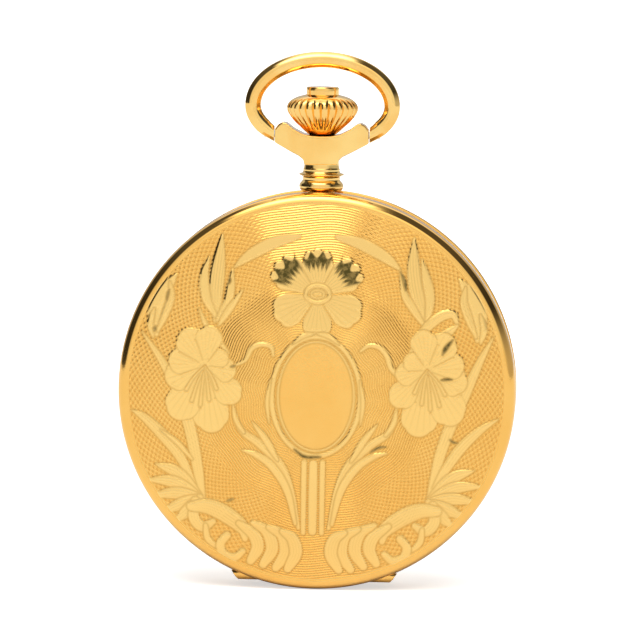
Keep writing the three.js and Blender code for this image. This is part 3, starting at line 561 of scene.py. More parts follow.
def poppy(relief, side):
    """The large side flower in half profile, a drooping bell of broad petals."""
    at = (side * 13.9, 3.2)
    petals = (
        (262, 8.3, 23), (300, 7.6, 24), (226, 6, 24), (338, 5.2, 30), (12, 4.6, 32), (190, 3.9, 32),
        (150, 3.2, 32), (58, 5.2, 30), (98, 5, 28),
    )
    for heading, length, spread in petals:
        relief.petal(at, heading if side > 0 else 180 - heading, length, spread, 0.11, 0.03, 2, 0.05)
    for across, down in ((1.6, -4.4), (0.5, -4.9), (-0.6, -4.2), (2.3, -3), (-1.5, -2.8)):
        end = (at[0] + side * across, at[1] + down)
        middle = (at[0] + side * across * 0.6, at[1] + down * 0.6 + 0.3)
        relief.stroke([at, middle, end], (0.1, 0.13, 0.2), 0.13)


def acanthus(relief, side):
    """The feathered leaf and rolled scrolls at the foot of each side, drawn for the left."""
    tips = (
        ((-19.9, -9.4), (-17.2, -10.4)), ((-20.9, -11.4), (-17.6, -11.6)), ((-20.3, -13.4), (-17.4, -13)),
        ((-18.9, -15.4), (-16.8, -14.4)), ((-17.4, -16.6), (-15.9, -15.2)),
    )
    rolls = (
        ((-9.4, -16.6), (-7.6, -17.9), (-7, -19.6), (-7.9, -21.4)),
        ((-7.6, -16.5), (-5.8, -17.6), (-5.2, -19.8), (-6.3, -21.8)),
        ((-5.6, -17), (-3.9, -18), (-3.5, -20.2), (-4.7, -22.2)),
        ((-3.9, -17.5), (-2.6, -18.4), (-2.2, -20.3), (-3.2, -22.3)),
    )
    leaf = [([(-14.3, -13.4), bend, tip], (0.35, 0.75, 0.12), 0.16, 0.3) for tip, bend in tips]
    scrolls = [
        ([(-14.9, -13.9), (-15.1, -16), (-14, -17.2), (-12.7, -16.5)], (0.55, 0.7, 0.4), 0.16, 0.2),
        ([(-15.4, -14.6), (-13.2, -14.6), (-10.9, -15.6), (-8.9, -17.2), (-8.6, -18.6)],
         (0.6, 1.05, 0.35), 0.17, 0.3),
        ([(-13.6, -17), (-13.3, -18.7), (-12, -19.9)], (0.25, 0.4, 0.2), 0.13),
        ([(-10.9, -18.2), (-11.7, -19.3), (-11.3, -20.6), (-9.9, -21), (-8.9, -20.2)],
         (0.5, 0.55, 0.4), 0.17),
    ]
    relief.draw(leaf + scrolls + [(points, (0.35, 0.8, 0.5), 0.17, 0.2) for points in rolls], -side)


def stem_leaves(reach):
    """The leaves on the right of the stems, whose longest tip is the reach from the middle."""
    tip = (reach, -1.5)
    return [
        ([(1.9, -17), (2.9, -12.2), (4.3, -8.9), (6.9, -6.4), (9.3, -4.6), tip],
         (0.22, 0.52, 0.1), 0.15, 0.25),
        ([(2.3, -16.5), (3.4, -12.2), (5.3, -9.2), (7.3, -7.8), (9, -7.3)], (0.2, 0.5, 0.12), 0.15),
        ([(4.6, -8.4), (6, -6), (7.8, -3.7)], (0.15, 0.42, 0.08), 0.14),
        ([(8.9, -5), (9.9, -3.4), tip], (0.2, 0.3, 0.06), 0.12),
    ]


# Strokes of the front lid: line, half widths at its start, middle and end, height and vein.
TOP_LEAF = [([(2.4, 19.6), (5.4, 18.8), (8.4, 17.2), (10.4, 15.6)], (0.3, 0.75, 0.1), 0.05)]
STEMS = [([(u, -8.6), (u - 0.03, -13), (u - 0.05, -17.6)], (0.34, 0.34, 0.3), 0.12) for u in (-1.25, 1.05)]
STEMS += [([(-0.1, -8.8), (-0.12, -13), (-0.15, -17.4)], (0.5, 0.55, 0.5), 0.05)]
BLADES = [
    ([(-14.1, -13.4), (-14.7, -9.4), (-15.7, -4.6), (-17.2, -0.3), (-19.3, 3.6), (-21.9, 7.2)],
     (0.45, 0.72, 0.1), 0.16, 0.3),
    ([(14.5, -12.9), (15.6, -7.8), (17, -3.6), (18.7, 0.3), (20.4, 4.2), (22, 7.3)],
     (0.4, 0.72, 0.1), 0.16, 0.3),
    ([(-14.9, -12.4), (-16.8, -8.5), (-19.1, -5.7), (-21.4, -3.6), (-23, -2.7)], (0.3, 0.68, 0.1), 0.15, 0.3),
    ([(15.1, -11.6), (16.7, -8.8), (18.4, -6.4), (20.6, -4.3), (22.8, -2.9)], (0.3, 0.66, 0.1), 0.15, 0.3),
    ([(-15.4, -8.6), (-17.2, -6.6), (-19.4, -5)], (0.15, 0.3, 0.06), 0.11),
]
BUD = [
    ([(20.1, 7), (20.3, 9.6), (19.2, 12.4), (17.7, 14.6)], (0.3, 1.05, 0.1), 0.16),
    ([(19.9, 7.4), (19, 9.6), (18.3, 11.8), (18.5, 13.6)], (0.15, 0.5, 0.1), 0.2, 0.3),
    ([(20.5, 6.6), (20.9, 8.4), (20.4, 10.2)], (0.12, 0.4, 0.1), 0.17),
]
TALL_LEAVES = [
    ([(-12.6, 9), (-12.7, 12.6), (-12.4, 16), (-12, 19.6)], (0.35, 0.95, 0.12), 0.17, 0.35),
    ([(-12.6, 9.4), (-13.9, 11.8), (-14.2, 14.6), (-13.6, 16.8)], (0.2, 0.6, 0.1), 0.13),
    ([(-12.4, 9), (-11.1, 11.6), (-10.8, 13.4), (-10.6, 15.4)], (0.2, 0.55, 0.08), 0.15),
    ([(-12.2, 8.4), (-10.9, 10.4), (-9.3, 12.8)], (0.15, 0.42, 0.08), 0.13),
    ([(-14.7, 10.3), (-13.8, 8.3), (-12.2, 6.4), (-10.9, 4.9)], (0.1, 0.34, 0.12), 0.14),
    ([(13.6, 9), (12.6, 12.4), (12, 16), (12, 19.6)], (0.35, 0.95, 0.12), 0.17, 0.35),
    ([(13.8, 9.2), (14.1, 12), (13.6, 14.6), (13, 17)], (0.2, 0.62, 0.1), 0.13),
    ([(13.4, 8.8), (11.9, 11), (10.9, 12.8), (10.3, 15.6)], (0.2, 0.5, 0.08), 0.15),
    ([(11.8, 5.4), (13.3, 8), (15.4, 9.9), (17, 10.2), (17.6, 8.8)], (0.2, 0.62, 0.15), 0.17, 0.2),
    ([(13.7, 4.6), (15.2, 6.8), (17.5, 8.8)], (0.2, 0.7, 0.2), 0.15, 0.3),
]
TENDRILS = [
    ([(-5.3, 4.7), (-5.6, 5.8), (-6.9, 6.1), (-8.1, 5.5), (-8.9, 4), (-10.9, 3.1)], (0.16, 0.34, 0.1), 0.15),
    ([(5.6, 5.5), (6.6, 6.2), (7.9, 6), (8.9, 4.9), (9.5, 3.3), (11.2, 1.6), (12.8, -0.3)],
     (0.16, 0.34, 0.12), 0.15),
]
RESERVE_TRIM = [
    ([(0.2, 7.6), (1.6, 7.3), (2.9, 6.3)], (0.1, 0.3, 0.08), 0.17),
    ([(5.6, 1.8), (6, -1), (5.7, -3.8)], (0.08, 0.24, 0.08), 0.15),
]
# Deep bright cuts, raised strokes whose dark reflection is painted into the colour: line, half widths,
# height, vein and painted darkness.
CUTS = [
    ([(-2.5, -7), (-1.2, -7.9), (0.8, -7.9)], (0.06, 0.17, 0.06), 0.05, 0, 1),
    ([(17, 7), (16.2, 6), (15.8, 5.2)], (0.05, 0.26, 0.05), 0.1, 0, 1),
    ([(15.7, 2), (16.3, 2.1), (17, 2.1)], (0.05, 0.16, 0.05), 0.1, 0, 1),
    ([(10.4, 15.4), (10.9, 14.2), (11.1, 13.2)], (0.05, 0.2, 0.1), 0.1, 0, 0.85),
    ([(8.9, -6.5), (8, -6.6), (7, -7.2)], (0.04, 0.14, 0.06), 0.05, 0, 0.9),
    ([(17.8, -5.9), (17.3, -5.8), (16.9, -5.5)], (0.04, 0.13, 0.05), 0.05, 0, 0.9),
    ([(-10.9, 14.2), (-11, 13.6)], (0.05, 0.16, 0.05), 0.1, 0, 0.9),
    ([(-10.6, 3.2), (-10.1, 3.3)], (0.05, 0.14, 0.05), 0.1, 0, 0.8),
    ([(-20.4, 7.4), (-20.2, 8)], (0.05, 0.22, 0.05), 0.1, 0, 0.8),
    ([(-18.9, 11.4), (-18.6, 12.6)], (0.04, 0.13, 0.04), 0.1, 0, 0.8),
    ([(-10.9, -13.8), (-10.1, -13.5)], (0.04, 0.12, 0.04), 0.05, 0, 0.8),
]


def engrave(relief):
    """The front lid's garden: reserve, stems, blades, buds, poppies and scrolls."""
    for side in (-1, 1):
        relief.draw(TOP_LEAF, side)
    relief.draw(STEMS)
    relief.draw(stem_leaves(10.3), -1)
    relief.draw(stem_leaves(10.2))
    relief.draw(BLADES)
    for side in (-1, 1):
        relief.draw(BUD, side)
    relief.draw(TALL_LEAVES + TENDRILS)
    for motif in (poppy, acanthus):
        for side in (-1, 1):
            motif(relief, side)
    flower(relief)
    relief.plain((0.1, -0.3), (5.0, 7.1))
    relief.oval((0.1, -0.3), (4.75, 6.85), 0.13, 0.10)
    relief.oval((0.1, -0.3), (5.55, 7.5), 0.3, 0.16)
    for side in (-1, 1):
        relief.draw(RESERVE_TRIM, side)
    relief.draw(CUTS)


def wreath(relief):
    """The back cover: a round reserve inside a ring of laurel, and twelve fans of leaves."""
    ring, pairs, fans = 11.8, 26, 12
    relief.plain((0, 0), (8.2, 8.2))
    relief.oval((0, 0), (8.4, 8.4), 0.22, 0.14)
    relief.oval((0, 0), (15.2, 15.2), 0.16, 0.1)
    for k in range(pairs):
        base = 2 * pi * k / pairs
        for out in (-1.0, 1.0):
            places = [(ring + out * d, base + 0.16 * t) for d, t in ((0.1, 0.0), (1.0, 0.9), (2.3, 1.5))]
            points = [(r * cos(t), r * sin(t)) for r, t in places]
            relief.stroke(points, (0.1, 0.52, 0.06), 0.16, 0.3)
    relief.oval((0, 0), (ring, ring), 0.16, 0.14)
    for k in range(fans):
        base = 2 * pi * (k + 0.5) / fans
        for fan in (-0.14, -0.07, 0.07, 0.14, 0.0):
            places = [(17.0, base), (19.0, base + fan * 0.75), (21.8 - 18 * abs(fan), base + fan)]
            points = [(r * cos(t), r * sin(t)) for r, t in places]
            relief.stroke(points, (0.12, 0.5, 0.08), 0.15, 0.3)


def dome(radius):
    """Height of the lid's outside at a radius."""
    sphere = (FIELD_RADIUS**2 + FIELD_DROP**2) / (2 * FIELD_DROP)
    return LID_APEX - (sphere - np.sqrt(sphere**2 - radius**2))


def disc_grid(cells, radius):
    """Points of a square grid spread over a disc, and the loop of its edge points in order."""
    side = np.linspace(-1, 1, cells + 1)
    a, b = (m.ravel() for m in np.meshgrid(side, side, indexing="xy"))
    wide = np.abs(a) > np.abs(b)
    r = np.where(wide, a, b)
    safe = np.where(r == 0, 1, r)
    turn = np.where(wide, pi / 4 * b / safe, pi / 2 - pi / 4 * a / safe)
    n = cells + 1
    loop = list(range(n)) + [i * n + cells for i in range(1, n)]
    loop += [cells * n + i for i in range(cells - 1, -1, -1)] + [i * n for i in range(cells - 1, 0, -1)]
    return radius * r * np.cos(turn), radius * r * np.sin(turn), loop


def knuckle_rod(side, near, far):
    """One outer knuckle of a lid's hinge, along u, with its free end bevelled towards the foot."""
    segments, bevel = 32, 0.45
    turn = np.arange(segments) * 2 * pi / segments
    outwards = np.sign(far)
    ends = ((near, 0.0), (near, KNUCKLE), (far - 0.06 * outwards, KNUCKLE), (far, KNUCKLE - 0.08), (far, 0.0))
    rows = []
    for at, radius in ends:
        lift = radius * np.sin(turn)
        inset = 0.0 if at == near else bevel * (1 - lift / KNUCKLE)
        u = at - outwards * inset + np.zeros(segments)
        rows.append(np.stack([u, HINGE_V + lift, side * HINGE_W + radius * np.cos(turn)], axis=1))
    return np.concatenate(rows), grid_faces(len(rows), segments)


def lid_profile():
    """The lid's section from the field's edge round its rim to the inside, as (radius, height)."""
    steps = 12
    rim = [
        (FIELD_RADIUS + 0.03 + 1.27 * sin(t), RIM_LEVEL + 1.72 * cos(t))
        for t in (pi / 2 * k / steps for k in range(steps + 1))
    ]
    lip = [
        (CASE_RADIUS, LID_EDGE + 0.06), (CASE_RADIUS - 0.06, LID_EDGE), (24.56, LID_EDGE),
        (24.5, LID_EDGE + 0.06), (24.5, 3.2), (24.3, 3.75), (24.0, 4.1),
    ]
    return rim + lip + [(r, dome(r) - LID_THICKNESS) for r in (23.2, 19.0, 12.0, 5.0)]


def lid(name, side, cells, engraver, body):
    """A domed lid with its relief, polished rim, inside and hinge knuckles. side is 1 for the front."""
    u, v, loop = disc_grid(cells, FIELD_RADIUS)
    radius = np.hypot(u, v)
    relief = Relief(u * side, v)
    engraver(relief)
    relief.soften(2, 0.95)
    fade = unit((FIELD_RADIUS - 0.1 - radius) / 0.12)
    points = [np.stack([u, v, side * (dome(radius) + relief.height * fade)], axis=1)]
    faces = grid_faces(cells + 1, cells + 1, closed_columns=False)
    turn = np.arctan2(v[loop], u[loop])
    ring, first, previous = len(loop), len(u), loop
    pairs = [(j, (j + 1) % ring) for j in range(ring)]
    for r, h in lid_profile():
        points.append(np.stack([r * np.cos(turn), r * np.sin(turn), np.full(ring, side * h)], axis=1))
        current = list(range(first, first + ring))
        faces += [(previous[j], previous[k], current[k], current[j]) for j, k in pairs]
        previous, first = current, first + ring
    points.append(np.array([[0, 0, side * (dome(0.0) - LID_THICKNESS)]]))
    faces += [(previous[j], previous[k], first) for j, k in pairs]
    first += 1
    for near, far in ((3.42, 10.5), (-3.42, -10.5)):
        rod, rod_faces = knuckle_rod(side, near, far)
        points.append(rod)
        faces += shifted(rod_faces, first)
        first += len(rod)
    piece = make(name, np.concatenate(points), faces, LID_METAL, body, "engraved_gold", [body])
    layers = {
        "motif": relief.motif, "bright": relief.bright, "line": relief.line * fade, "cut": relief.cut * fade,
        "field": fade,
    }
    for key, values in layers.items():
        full = np.zeros(len(piece.data.vertices), np.float32)
        full[: len(u)] = values
        piece.data.attributes.new(key, "FLOAT", "POINT").data.foreach_set("value", full)


lid("front_lid_shell", 1, 390, engrave, "front_lid")
lid("back_cover_shell", -1, 300, wreath, "back_cover")


# ---- bow, pendant and crown ----


def sweep(line, section, ahead):
    """Points of a section (in-plane offset, depth) swept along a line in the u, v plane."""
    points = []
    for (u, v), (du, dv) in zip(line, ahead):
        for out, deep in section:
            points.append((u + dv * out, v - du * out, deep))
    return np.array(points)


def golden(name, points, faces, body, angle, nodes=()):
    """A polished gold piece whose edges sharper than the angle are kept."""
    sharpen(make(name, points, faces, POLISHED, body, "polished_gold", nodes), angle)


def bow():
    """The bow: a faceted wire bent to a flat oval, its ends square to the pendant's head."""
    sides, lower, facets, ring, wire, square_off = 24, -35, 8, 40, 1.05, 10
    path = [(6.0, BOW_PIVOT_V)]
    for i in range(sides + 1):
        angle = radians(lower + (180 - 2 * lower) * i / sides)
        rise = 5.8 if 0 < angle < pi else 4.9
        path.append((8.75 * cos(angle), 35.7 + rise * sin(angle)))
    line = curve_through(path + [(-6.0, BOW_PIVOT_V)], 8)
    ahead = np.gradient(line, axis=0)
    ahead /= np.linalg.norm(ahead, axis=1)[:, None]
    for k in range(square_off):
        share = (k / square_off) ** 1.2
        for i in (k, -1 - k):
            bent = share * ahead[i] + (1 - share) * np.array([1.0, 0.0])
            ahead[i] = bent / np.linalg.norm(bent)
    section = []
    half = pi / facets
    for t in (2 * pi * k / ring for k in range(ring)):
        flat = cos(half) / cos((t + half) % (2 * half) - half)
        radius = wire * (0.35 + 0.65 * flat)
        section.append((radius * cos(t), radius * sin(t)))
    points = sweep(line, section, ahead)
    faces = grid_faces(len(line), ring)
    for centre, row in ((len(points), 0), (len(points) + 1, len(line) - 1)):
        faces += [(row * ring + j, row * ring + (j + 1) % ring, centre) for j in range(ring)]
    ends = [(*line[0], 0.0), (*line[-1], 0.0)]
    golden("bow_wire", np.concatenate([points, ends]), faces, "bow", 50, ["bow"])


def carve(piece, tools):
    """Cuts a piece with tools, each an object and its boolean operation."""
    for tool, operation in tools:
        modifier = piece.modifiers.new(operation, "BOOLEAN")
        modifier.object, modifier.operation, modifier.solver = tool, operation, "EXACT"


def settle(piece, tools):
    """Applies a piece's modifiers and removes the tools that cut it."""
    graph = bpy.context.evaluated_depsgraph_get()
    mesh = bpy.data.meshes.new_from_object(piece.evaluated_get(graph))
    piece.modifiers.clear()
    piece.data = mesh
    for tool, _ in tools:
        bpy.data.objects.remove(tool)


def head_outline():
    """The pendant head's front outline, round the saddle that the crown sits in."""
    right = [
        (2.12, 28.4), (2.2, 28.95), (2.75, 29.42), (3.86, 29.97), (5.9, 31.06), (5.9, 32.75), (5.45, 33.35),
        (4.9, 33.62), (4.4, 33.5), (3.5, 32.8), (2.3, 32.2), (1.1, 31.98), (0.0, 31.95),
    ]
    return right + [(-u, v) for u, v in reversed(right[:-1])]


def pendant():
    """The pendant: a ringed neck and a cast head with a saddle for the crown."""
    neck = [
        (0.88, 22.3), (1.7, 22.3), (1.7, 25), (2.5, 25.05), (2.74, 25.3), (2.8, 25.6), (2.72, 25.95),
        (2.45, 26.25), (2.34, 26.4), (2.36, 26.7), (2.5, 26.92), (2.78, 27), (2.84, 27.1), (2.78, 27.2),
        (2.42, 27.3), (2.3, 27.5), (2.32, 27.75), (2.24, 27.9), (2.2, 28.3), (2.2, 29.6), (0.88, 29.6),
    ]
    golden("pendant_neck", *turned(rounded(neck, 0.06, 3), 96, "v"), "case", 40, ["pendant"])
    front = head_outline()
    n = len(front)
    block = [(u, v, w) for w in (-3.4, 3.4) for u, v in front]
    sides = [(i, (i + 1) % n, n + (i + 1) % n, n + i) for i in range(n)]
    head = solid("pendant_head", block, sides + [tuple(range(n - 1, -1, -1)), tuple(range(n, 2 * n))])
    ring = 96
    turn = np.arange(ring) * 2 * pi / ring
    plan = [(6.7 * cos(t), v, 2.3 * sin(t)) for v in (27, 35) for t in turn]
    plan_faces = grid_faces(2, ring) + [tuple(range(ring - 1, -1, -1)), tuple(range(ring, 2 * ring))]
    bore = turned([(0.0, 28.0), (0.88, 28.0), (0.88, 35.0), (0.0, 35.0)], 40, "v")
    tools = [(solid("plan", plan, plan_faces), "INTERSECT"), (solid("stem_way", *bore), "DIFFERENCE")]
    carve(head, tools)
    remesh = head.modifiers.new("remesh", "REMESH")
    remesh.mode, remesh.voxel_size, remesh.use_smooth_shade = "VOXEL", 0.09 * MM, True
    smooth = head.modifiers.new("smooth", "SMOOTH")
    smooth.factor, smooth.iterations = 0.5, 7
    settle(head, tools)
    shade_smooth(head.data)
    dress(head, POLISHED, "case", ["pendant"])


def crown():
    """The fluted crown and the plain button in its top."""
    flutes = 26
    outer = [
        (0.88, 31.98), (1.45, 32.02), (2.1, 32.42), (2.8, 33.08), (3.3, 33.52), (3.72, 33.97), (4.08, 34.42),
        (4.34, 34.86), (4.47, 35.26), (4.45, 35.64), (4.3, 36), (4.02, 36.32), (3.62, 36.6), (3.16, 36.82),
        (2.72, 36.96), (2.42, 37.04), (2.28, 37.08), (2.18, 37), (2.15, 36.05), (0.5, 36.05), (0.5, 33.8),
        (0.88, 33.7),
    ]

    def fluted(radius, height, turn):
        grip = unit((radius - 2.3) / 1.3) * unit((36.7 - height) / 1.2) ** 0.8
        return radius - 0.36 * grip * (1 - np.abs(np.cos(flutes / 2 * turn)) ** 0.8)

    dense = [tuple(p) for p in curve_through(outer[:16], 3)] + outer[16:]
    golden("crown_fluted", *turned(dense, flutes * 16, "v", wave=fluted), "crown", 65, ["crown"])
    button = [
        (0, 34.3), (0.42, 34.3), (0.42, 36.85), (2.05, 36.85), (2.05, 37.95), (1.93, 38.1), (1.6, 38.06),
        (0, 38.08),
    ]
    golden("button_cap", *turned(rounded(button, 0.08, 3), 96, "v"), "crown_button", 50, ["crown_button"])


def case_band():
    """A smooth skin round the case band, open where the hinges are seated."""
    seat = degrees(acos(-HINGE_SEAT_V / BAND_RADIUS))
    steps, half, bulge, thickness = 280, 2.0, 0.05, 0.12
    turn = np.radians(np.linspace(-90 + seat, 270 - seat, steps))
    profile = [(BAND_RADIUS + bulge * (1 - (w / half) ** 2), w) for w in np.linspace(-half, half, 9)]
    profile += [(BAND_RADIUS - thickness, half), (BAND_RADIUS - thickness, -half)]
    count = len(profile)
    points = [(r * cos(t), r * sin(t), w) for t in turn for r, w in profile]
    faces = grid_faces(steps, count)
    faces += [tuple(range(count)), tuple(range((steps - 1) * count, steps * count))]
    sharpen(make("case_band_skin", points, faces, BAND_METAL, "case", "engraved_gold"), 40)


def cuvette():
    """The dust cover inside the back, notched round its middle knuckle, with its two outer knuckles."""
    hinge_v, hinge_w = CUVETTE_HINGE
    near, far, radius = CUVETTE_KNUCKLES
    outside = [(0.01, -4.95), (12.0, -4.80), (21.5, -4.52), (22.3, -4.2)]
    inside = [(22.3, -3.55), (21.9, -3.55), (21.6, -4.1), (12.0, -4.40), (0.01, -4.55)]
    shell = solid("cuvette_shell", *turned(outside + inside, 192))
    corners = ((-near, -24.0), (near, -24.0), (near, -21.6), (-near, -21.6))
    box = [(u, v, w) for w in (-6.0, -3.0) for u, v in corners]
    tools = [(solid("notch", box, BOX_FACES), "DIFFERENCE")]
    carve(shell, tools)
    settle(shell, tools)
    dress(shell, POLISHED, "cuvette", ["cuvette"])
    sharpen(shell, 25)
    ring = 24
    turn = np.arange(ring) * 2 * pi / ring
    points, faces = [], []
    for side in (1, -1):
        first = len(points)
        for u, r in ((near, 0.01), (near, radius), (far, radius), (far, 0.01)):
            points += [(side * u, hinge_v + r * sin(t), hinge_w + r * cos(t)) for t in turn]
        faces += shifted(grid_faces(4, ring) + [tuple(range(ring)), tuple(range(3 * ring, 4 * ring))], first)
    golden("cuvette_knuckles", points, faces, "cuvette", 40)


bow()
pendant()
crown()
case_band()
cuvette()

# ---- crystal, dial and hands ----

glass = Nodes("crystal_glass")
glass.set(Base_Color=(1.0, 1.0, 1.0), Transmission_Weight=1.0, IOR=1.45)
glass.set(Roughness=glass.between(glass.noise(300.0), 0.3, 0.7, 0.0, 0.02))
ENAMEL = coloured("white_enamel", (0.82, 0.80, 0.74), (0.88, 0.87, 0.82), 0.12, 0.6, 0.0000006, 500.0)
INK = coloured("black_enamel", (0.01, 0.01, 0.012), (0.02, 0.02, 0.022), 0.18, 0.4)

bezel = [
    (22.2, 2.15), (22.2, 3.55), (21.85, 4.3), (21.3, 4.35), (21.3, 3.85), (20.7, 3.85), (20.7, 3.15),
    (21.65, 3.15), (21.65, 2.15),
]
golden("bezel_ring", *turned(rounded(bezel, 0.15), 256), "case", 50, ["bezel"])

outside = [(r, 5.6 - 1.35 * (r / 21.2) ** 2.2) for r in (0.01, 4, 8, 12, 15, 18, 20, 21.2)]
inside = [(r, 5.15 - 1.25 * (r / 20.6) ** 2.2) for r in (20.6, 18, 15, 12, 8, 4, 0.01)]
make("crystal_dome", *turned(outside + inside, 128), glass.material, "case", "glass", ["crystal"])


def dial():
    """A white enamel dial: roman hours, a minute track and a sunk seconds dial, twelve to the left."""
    sink = 4.6
    ring = 160
    turn = np.arange(ring) * 2 * pi / ring
    ray = np.stack([np.cos(turn), np.sin(turn)], axis=1)
    fourth = np.array(FOURTH)
    inner = fourth + ray * (sink * 0.06)
    # The flat face's rows blend the sink's circle, which is off centre, into the rim, so the sink is round.
    rows = [(inner, SINK_FACE), (fourth + ray * (sink - 0.12), SINK_FACE), (fourth + ray * sink, DIAL_FACE)]
    out = []
    for direction in ray:
        along = fourth @ direction
        reach = -along + sqrt(along**2 + (DIAL_RADIUS - 0.15) ** 2 - fourth @ fourth)
        out.append(fourth + direction * reach)
    out = np.array(out)
    for share in (0.08, 0.3, 0.6, 1.0):
        rows.append(((fourth + ray * sink) * (1 - share) + out * share, DIAL_FACE))
    rim = out / np.linalg.norm(out, axis=1)[:, None] * DIAL_RADIUS
    rows += [(rim, SINK_FACE), (rim, DIAL_BACK), (inner, DIAL_BACK)]
    points = np.concatenate([np.column_stack([flat, np.full(ring, level)]) for flat, level in rows])
    faces = grid_faces(len(rows), ring, closed_rows=True)
    sharpen(make("dial_face", points, faces, ENAMEL, "case", "enamel", ["dial"]), 25)


class Ink:
    """Thin raised bars of fired enamel, gathered into one piece."""

    def __init__(self, level, centre=(0.0, 0.0)):
        self.level, self.centre = level, np.array(centre)
        self.points, self.faces = [], []

    def slab(self, corners):
        """A four-cornered slab that stands on the dial."""
        self.faces += shifted(BOX_FACES, len(self.points))
        for w in (self.level, self.level + 0.03):
            self.points += [(u, v, w) for u, v in corners]

    def at(self, clock, radius, across=0.0):
        """A point at a clock angle, with twelve to the left."""
        t = radians(180 - clock)
        out, side = np.array([cos(t), sin(t)]), np.array([sin(t), -cos(t)])
        return tuple(self.centre + out * radius + side * across)

    def bar(self, clock, inner, outer, width, low=0.0, high=0.0):
        """A bar from inner to outer radius, moved sideways by low at its inner end and high at its outer."""
        half = width / 2
        self.slab([
            self.at(clock, inner, low - half), self.at(clock, outer, high - half),
            self.at(clock, outer, high + half), self.at(clock, inner, low + half),
        ])

    def ring(self, radius, width, steps=120):
        for k in range(steps):
            a, b = 360 * k / steps, 360 * (k + 1) / steps
            low, high = radius - width / 2, radius + width / 2
            self.slab([self.at(a, low), self.at(a, high), self.at(b, high), self.at(b, low)])

    def piece(self, name):
        make(name, self.points, self.faces, INK, "case", "enamel", smooth=False)


def markings():
    """The roman hours, the minute track and the seconds track."""
    hours = Ink(DIAL_FACE - 0.005)
    numerals = ("XII", "I", "II", "III", "IIII", "V", "VI", "VII", "VIII", "IX", "X", "XI")
    widths = {"I": 0.62, "V": 1.25, "X": 1.3}
    inner, outer = 13.6, 17.2
    for hour, text in enumerate(numerals):
        if hour == 6:  # the seconds dial takes its place
            continue
        clock, half = hour * 30, sum(widths[c] for c in text) / 2
        at = -half
        for c in text:
            mid = at + widths[c] / 2
            strokes = {
                "I": ((0.36, 0.0, 0.0),),
                "V": ((0.36, 0.05, -0.38), (0.12, 0.12, 0.42)),
                "X": ((0.36, 0.36, -0.36), (0.12, -0.38, 0.38)),
            }[c]
            for width, low, high in strokes:
                hours.bar(clock, inner, outer, width, mid + low, mid + high)
            at += widths[c]
        for level in (inner, outer):
            hours.bar(clock, level - 0.05, level + 0.05, 2 * half)
    hours.piece("hour_numerals")
    track = Ink(DIAL_FACE - 0.005)
    inner, outer = 18.3, 19.3
    for radius in (inner, outer):
        track.ring(radius, 0.07)
    for minute in range(60):
        track.bar(minute * 6, inner, outer, 0.28 if minute % 5 == 0 else 0.09)
    track.piece("minute_track")
    seconds = Ink(SINK_FACE - 0.005, FOURTH)
    seconds.ring(4.25, 0.06, 72)
    for second in range(60):
        long = second % 10 == 0
        seconds.bar(second * 6, 3.5 if long else 3.85, 4.25, 0.16 if long else 0.06)
    seconds.piece("seconds_track")


def hand(name, outline, hub, clock, centre, low, high, body, node, bore):
    """A blued hand with a bevelled edge: outline gives (radius, half width) from tail to tip."""
    t = radians(180 - clock)
    spin = np.array([[cos(t), sin(t)], [-sin(t), cos(t)]])
    edge = [(r, -h) for r, h in outline] + [(r, h) for r, h in reversed(outline) if h > 0.001]
    count = len(edge)
    rows = []
    for w, grow in ((low, 1.0), ((low + high) / 2, 1.0), (high, 0.55)):
        flat = np.array([(r, h * grow) for r, h in edge]) @ spin + np.array(centre)
        rows.append(np.column_stack([flat, np.full(count, w)]))
    faces = grid_faces(3, count)
    last = count - 1
    spine = [(i, i + 1, last - 1 - i, last - i) for i in range(len(outline) - 1) if last - 1 - i > i + 1]
    faces += [tuple(reversed(f)) for f in spine] + shifted(spine, 2 * count)
    points = np.concatenate(rows)
    collar = [(bore, low), (hub, low), (hub, high + 0.02), (bore, high + 0.02)]
    disc, disc_faces = turned(rounded(collar, 0.05, 2), 48, at=centre)
    faces += shifted(disc_faces, len(points))
    sharpen(make(name, np.concatenate([points, disc]), faces, BLUED, body, "blued_steel", [node]), 25)


def spade(tip):
    """Outline of a spade hand, from its tail to its tip."""
    head = ((0.5, 0.2), (0.62, 0.22), (0.66, 0.62), (0.72, 0.95), (0.78, 0.85), (0.86, 0.3), (1.0, 0.02))
    return [(-0.9, 0.25), (1.0, 0.3)] + [(tip * along, half) for along, half in head]


dial()
markings()
hand("hour_spade", spade(9.6), 1.45, 304.8, (0, 0), 3.22, 3.4, "hour", "hour_hand", 1.15)
hand("minute_spade", spade(15.6), 1.1, 57.6, (0, 0), 3.66, 3.84, "centre", "minute_hand", 0.76)
needle = [(-1.4, 0.12), (-0.9, 0.16), (0, 0.1), (3.7, 0.03)]
hand("seconds_needle", needle, 0.5, 216, FOURTH, 3.3, 3.42, "fourth", "seconds_hand", 0.29)

# ---- movement ----


def striped(name):
    """Gilt bridges with broad polished stripes, whose light and dark bands are a painted sheen in the colour.
    """
    n = Nodes(name)
    x, _, z = n.split(n.object)
    across = n.add(n.times(x, 0.6), n.times(z, 0.8))
    wave = n.math("SINE", n.times(across, 2 * pi / 0.0013))
    fine = n.noise(2500.0, 3.0, stretch=(1.0, 1.0, 0.25))
    # Painted sheen: the stripes' light and dark bands are painted into the gilt colour.
    n.set(Base_Color=n.mix(n.between(wave, -1.0, 1.0), (0.80, 0.53, 0.20), (0.93, 0.68, 0.31)), Metallic=1.0)
    n.set(Roughness=n.between(fine, 0.3, 0.7, 0.2, 0.34))
    n.set(Normal=n.bump(n.add(wave, n.times(fine, 0.3)), 0.000006))
    return n.material


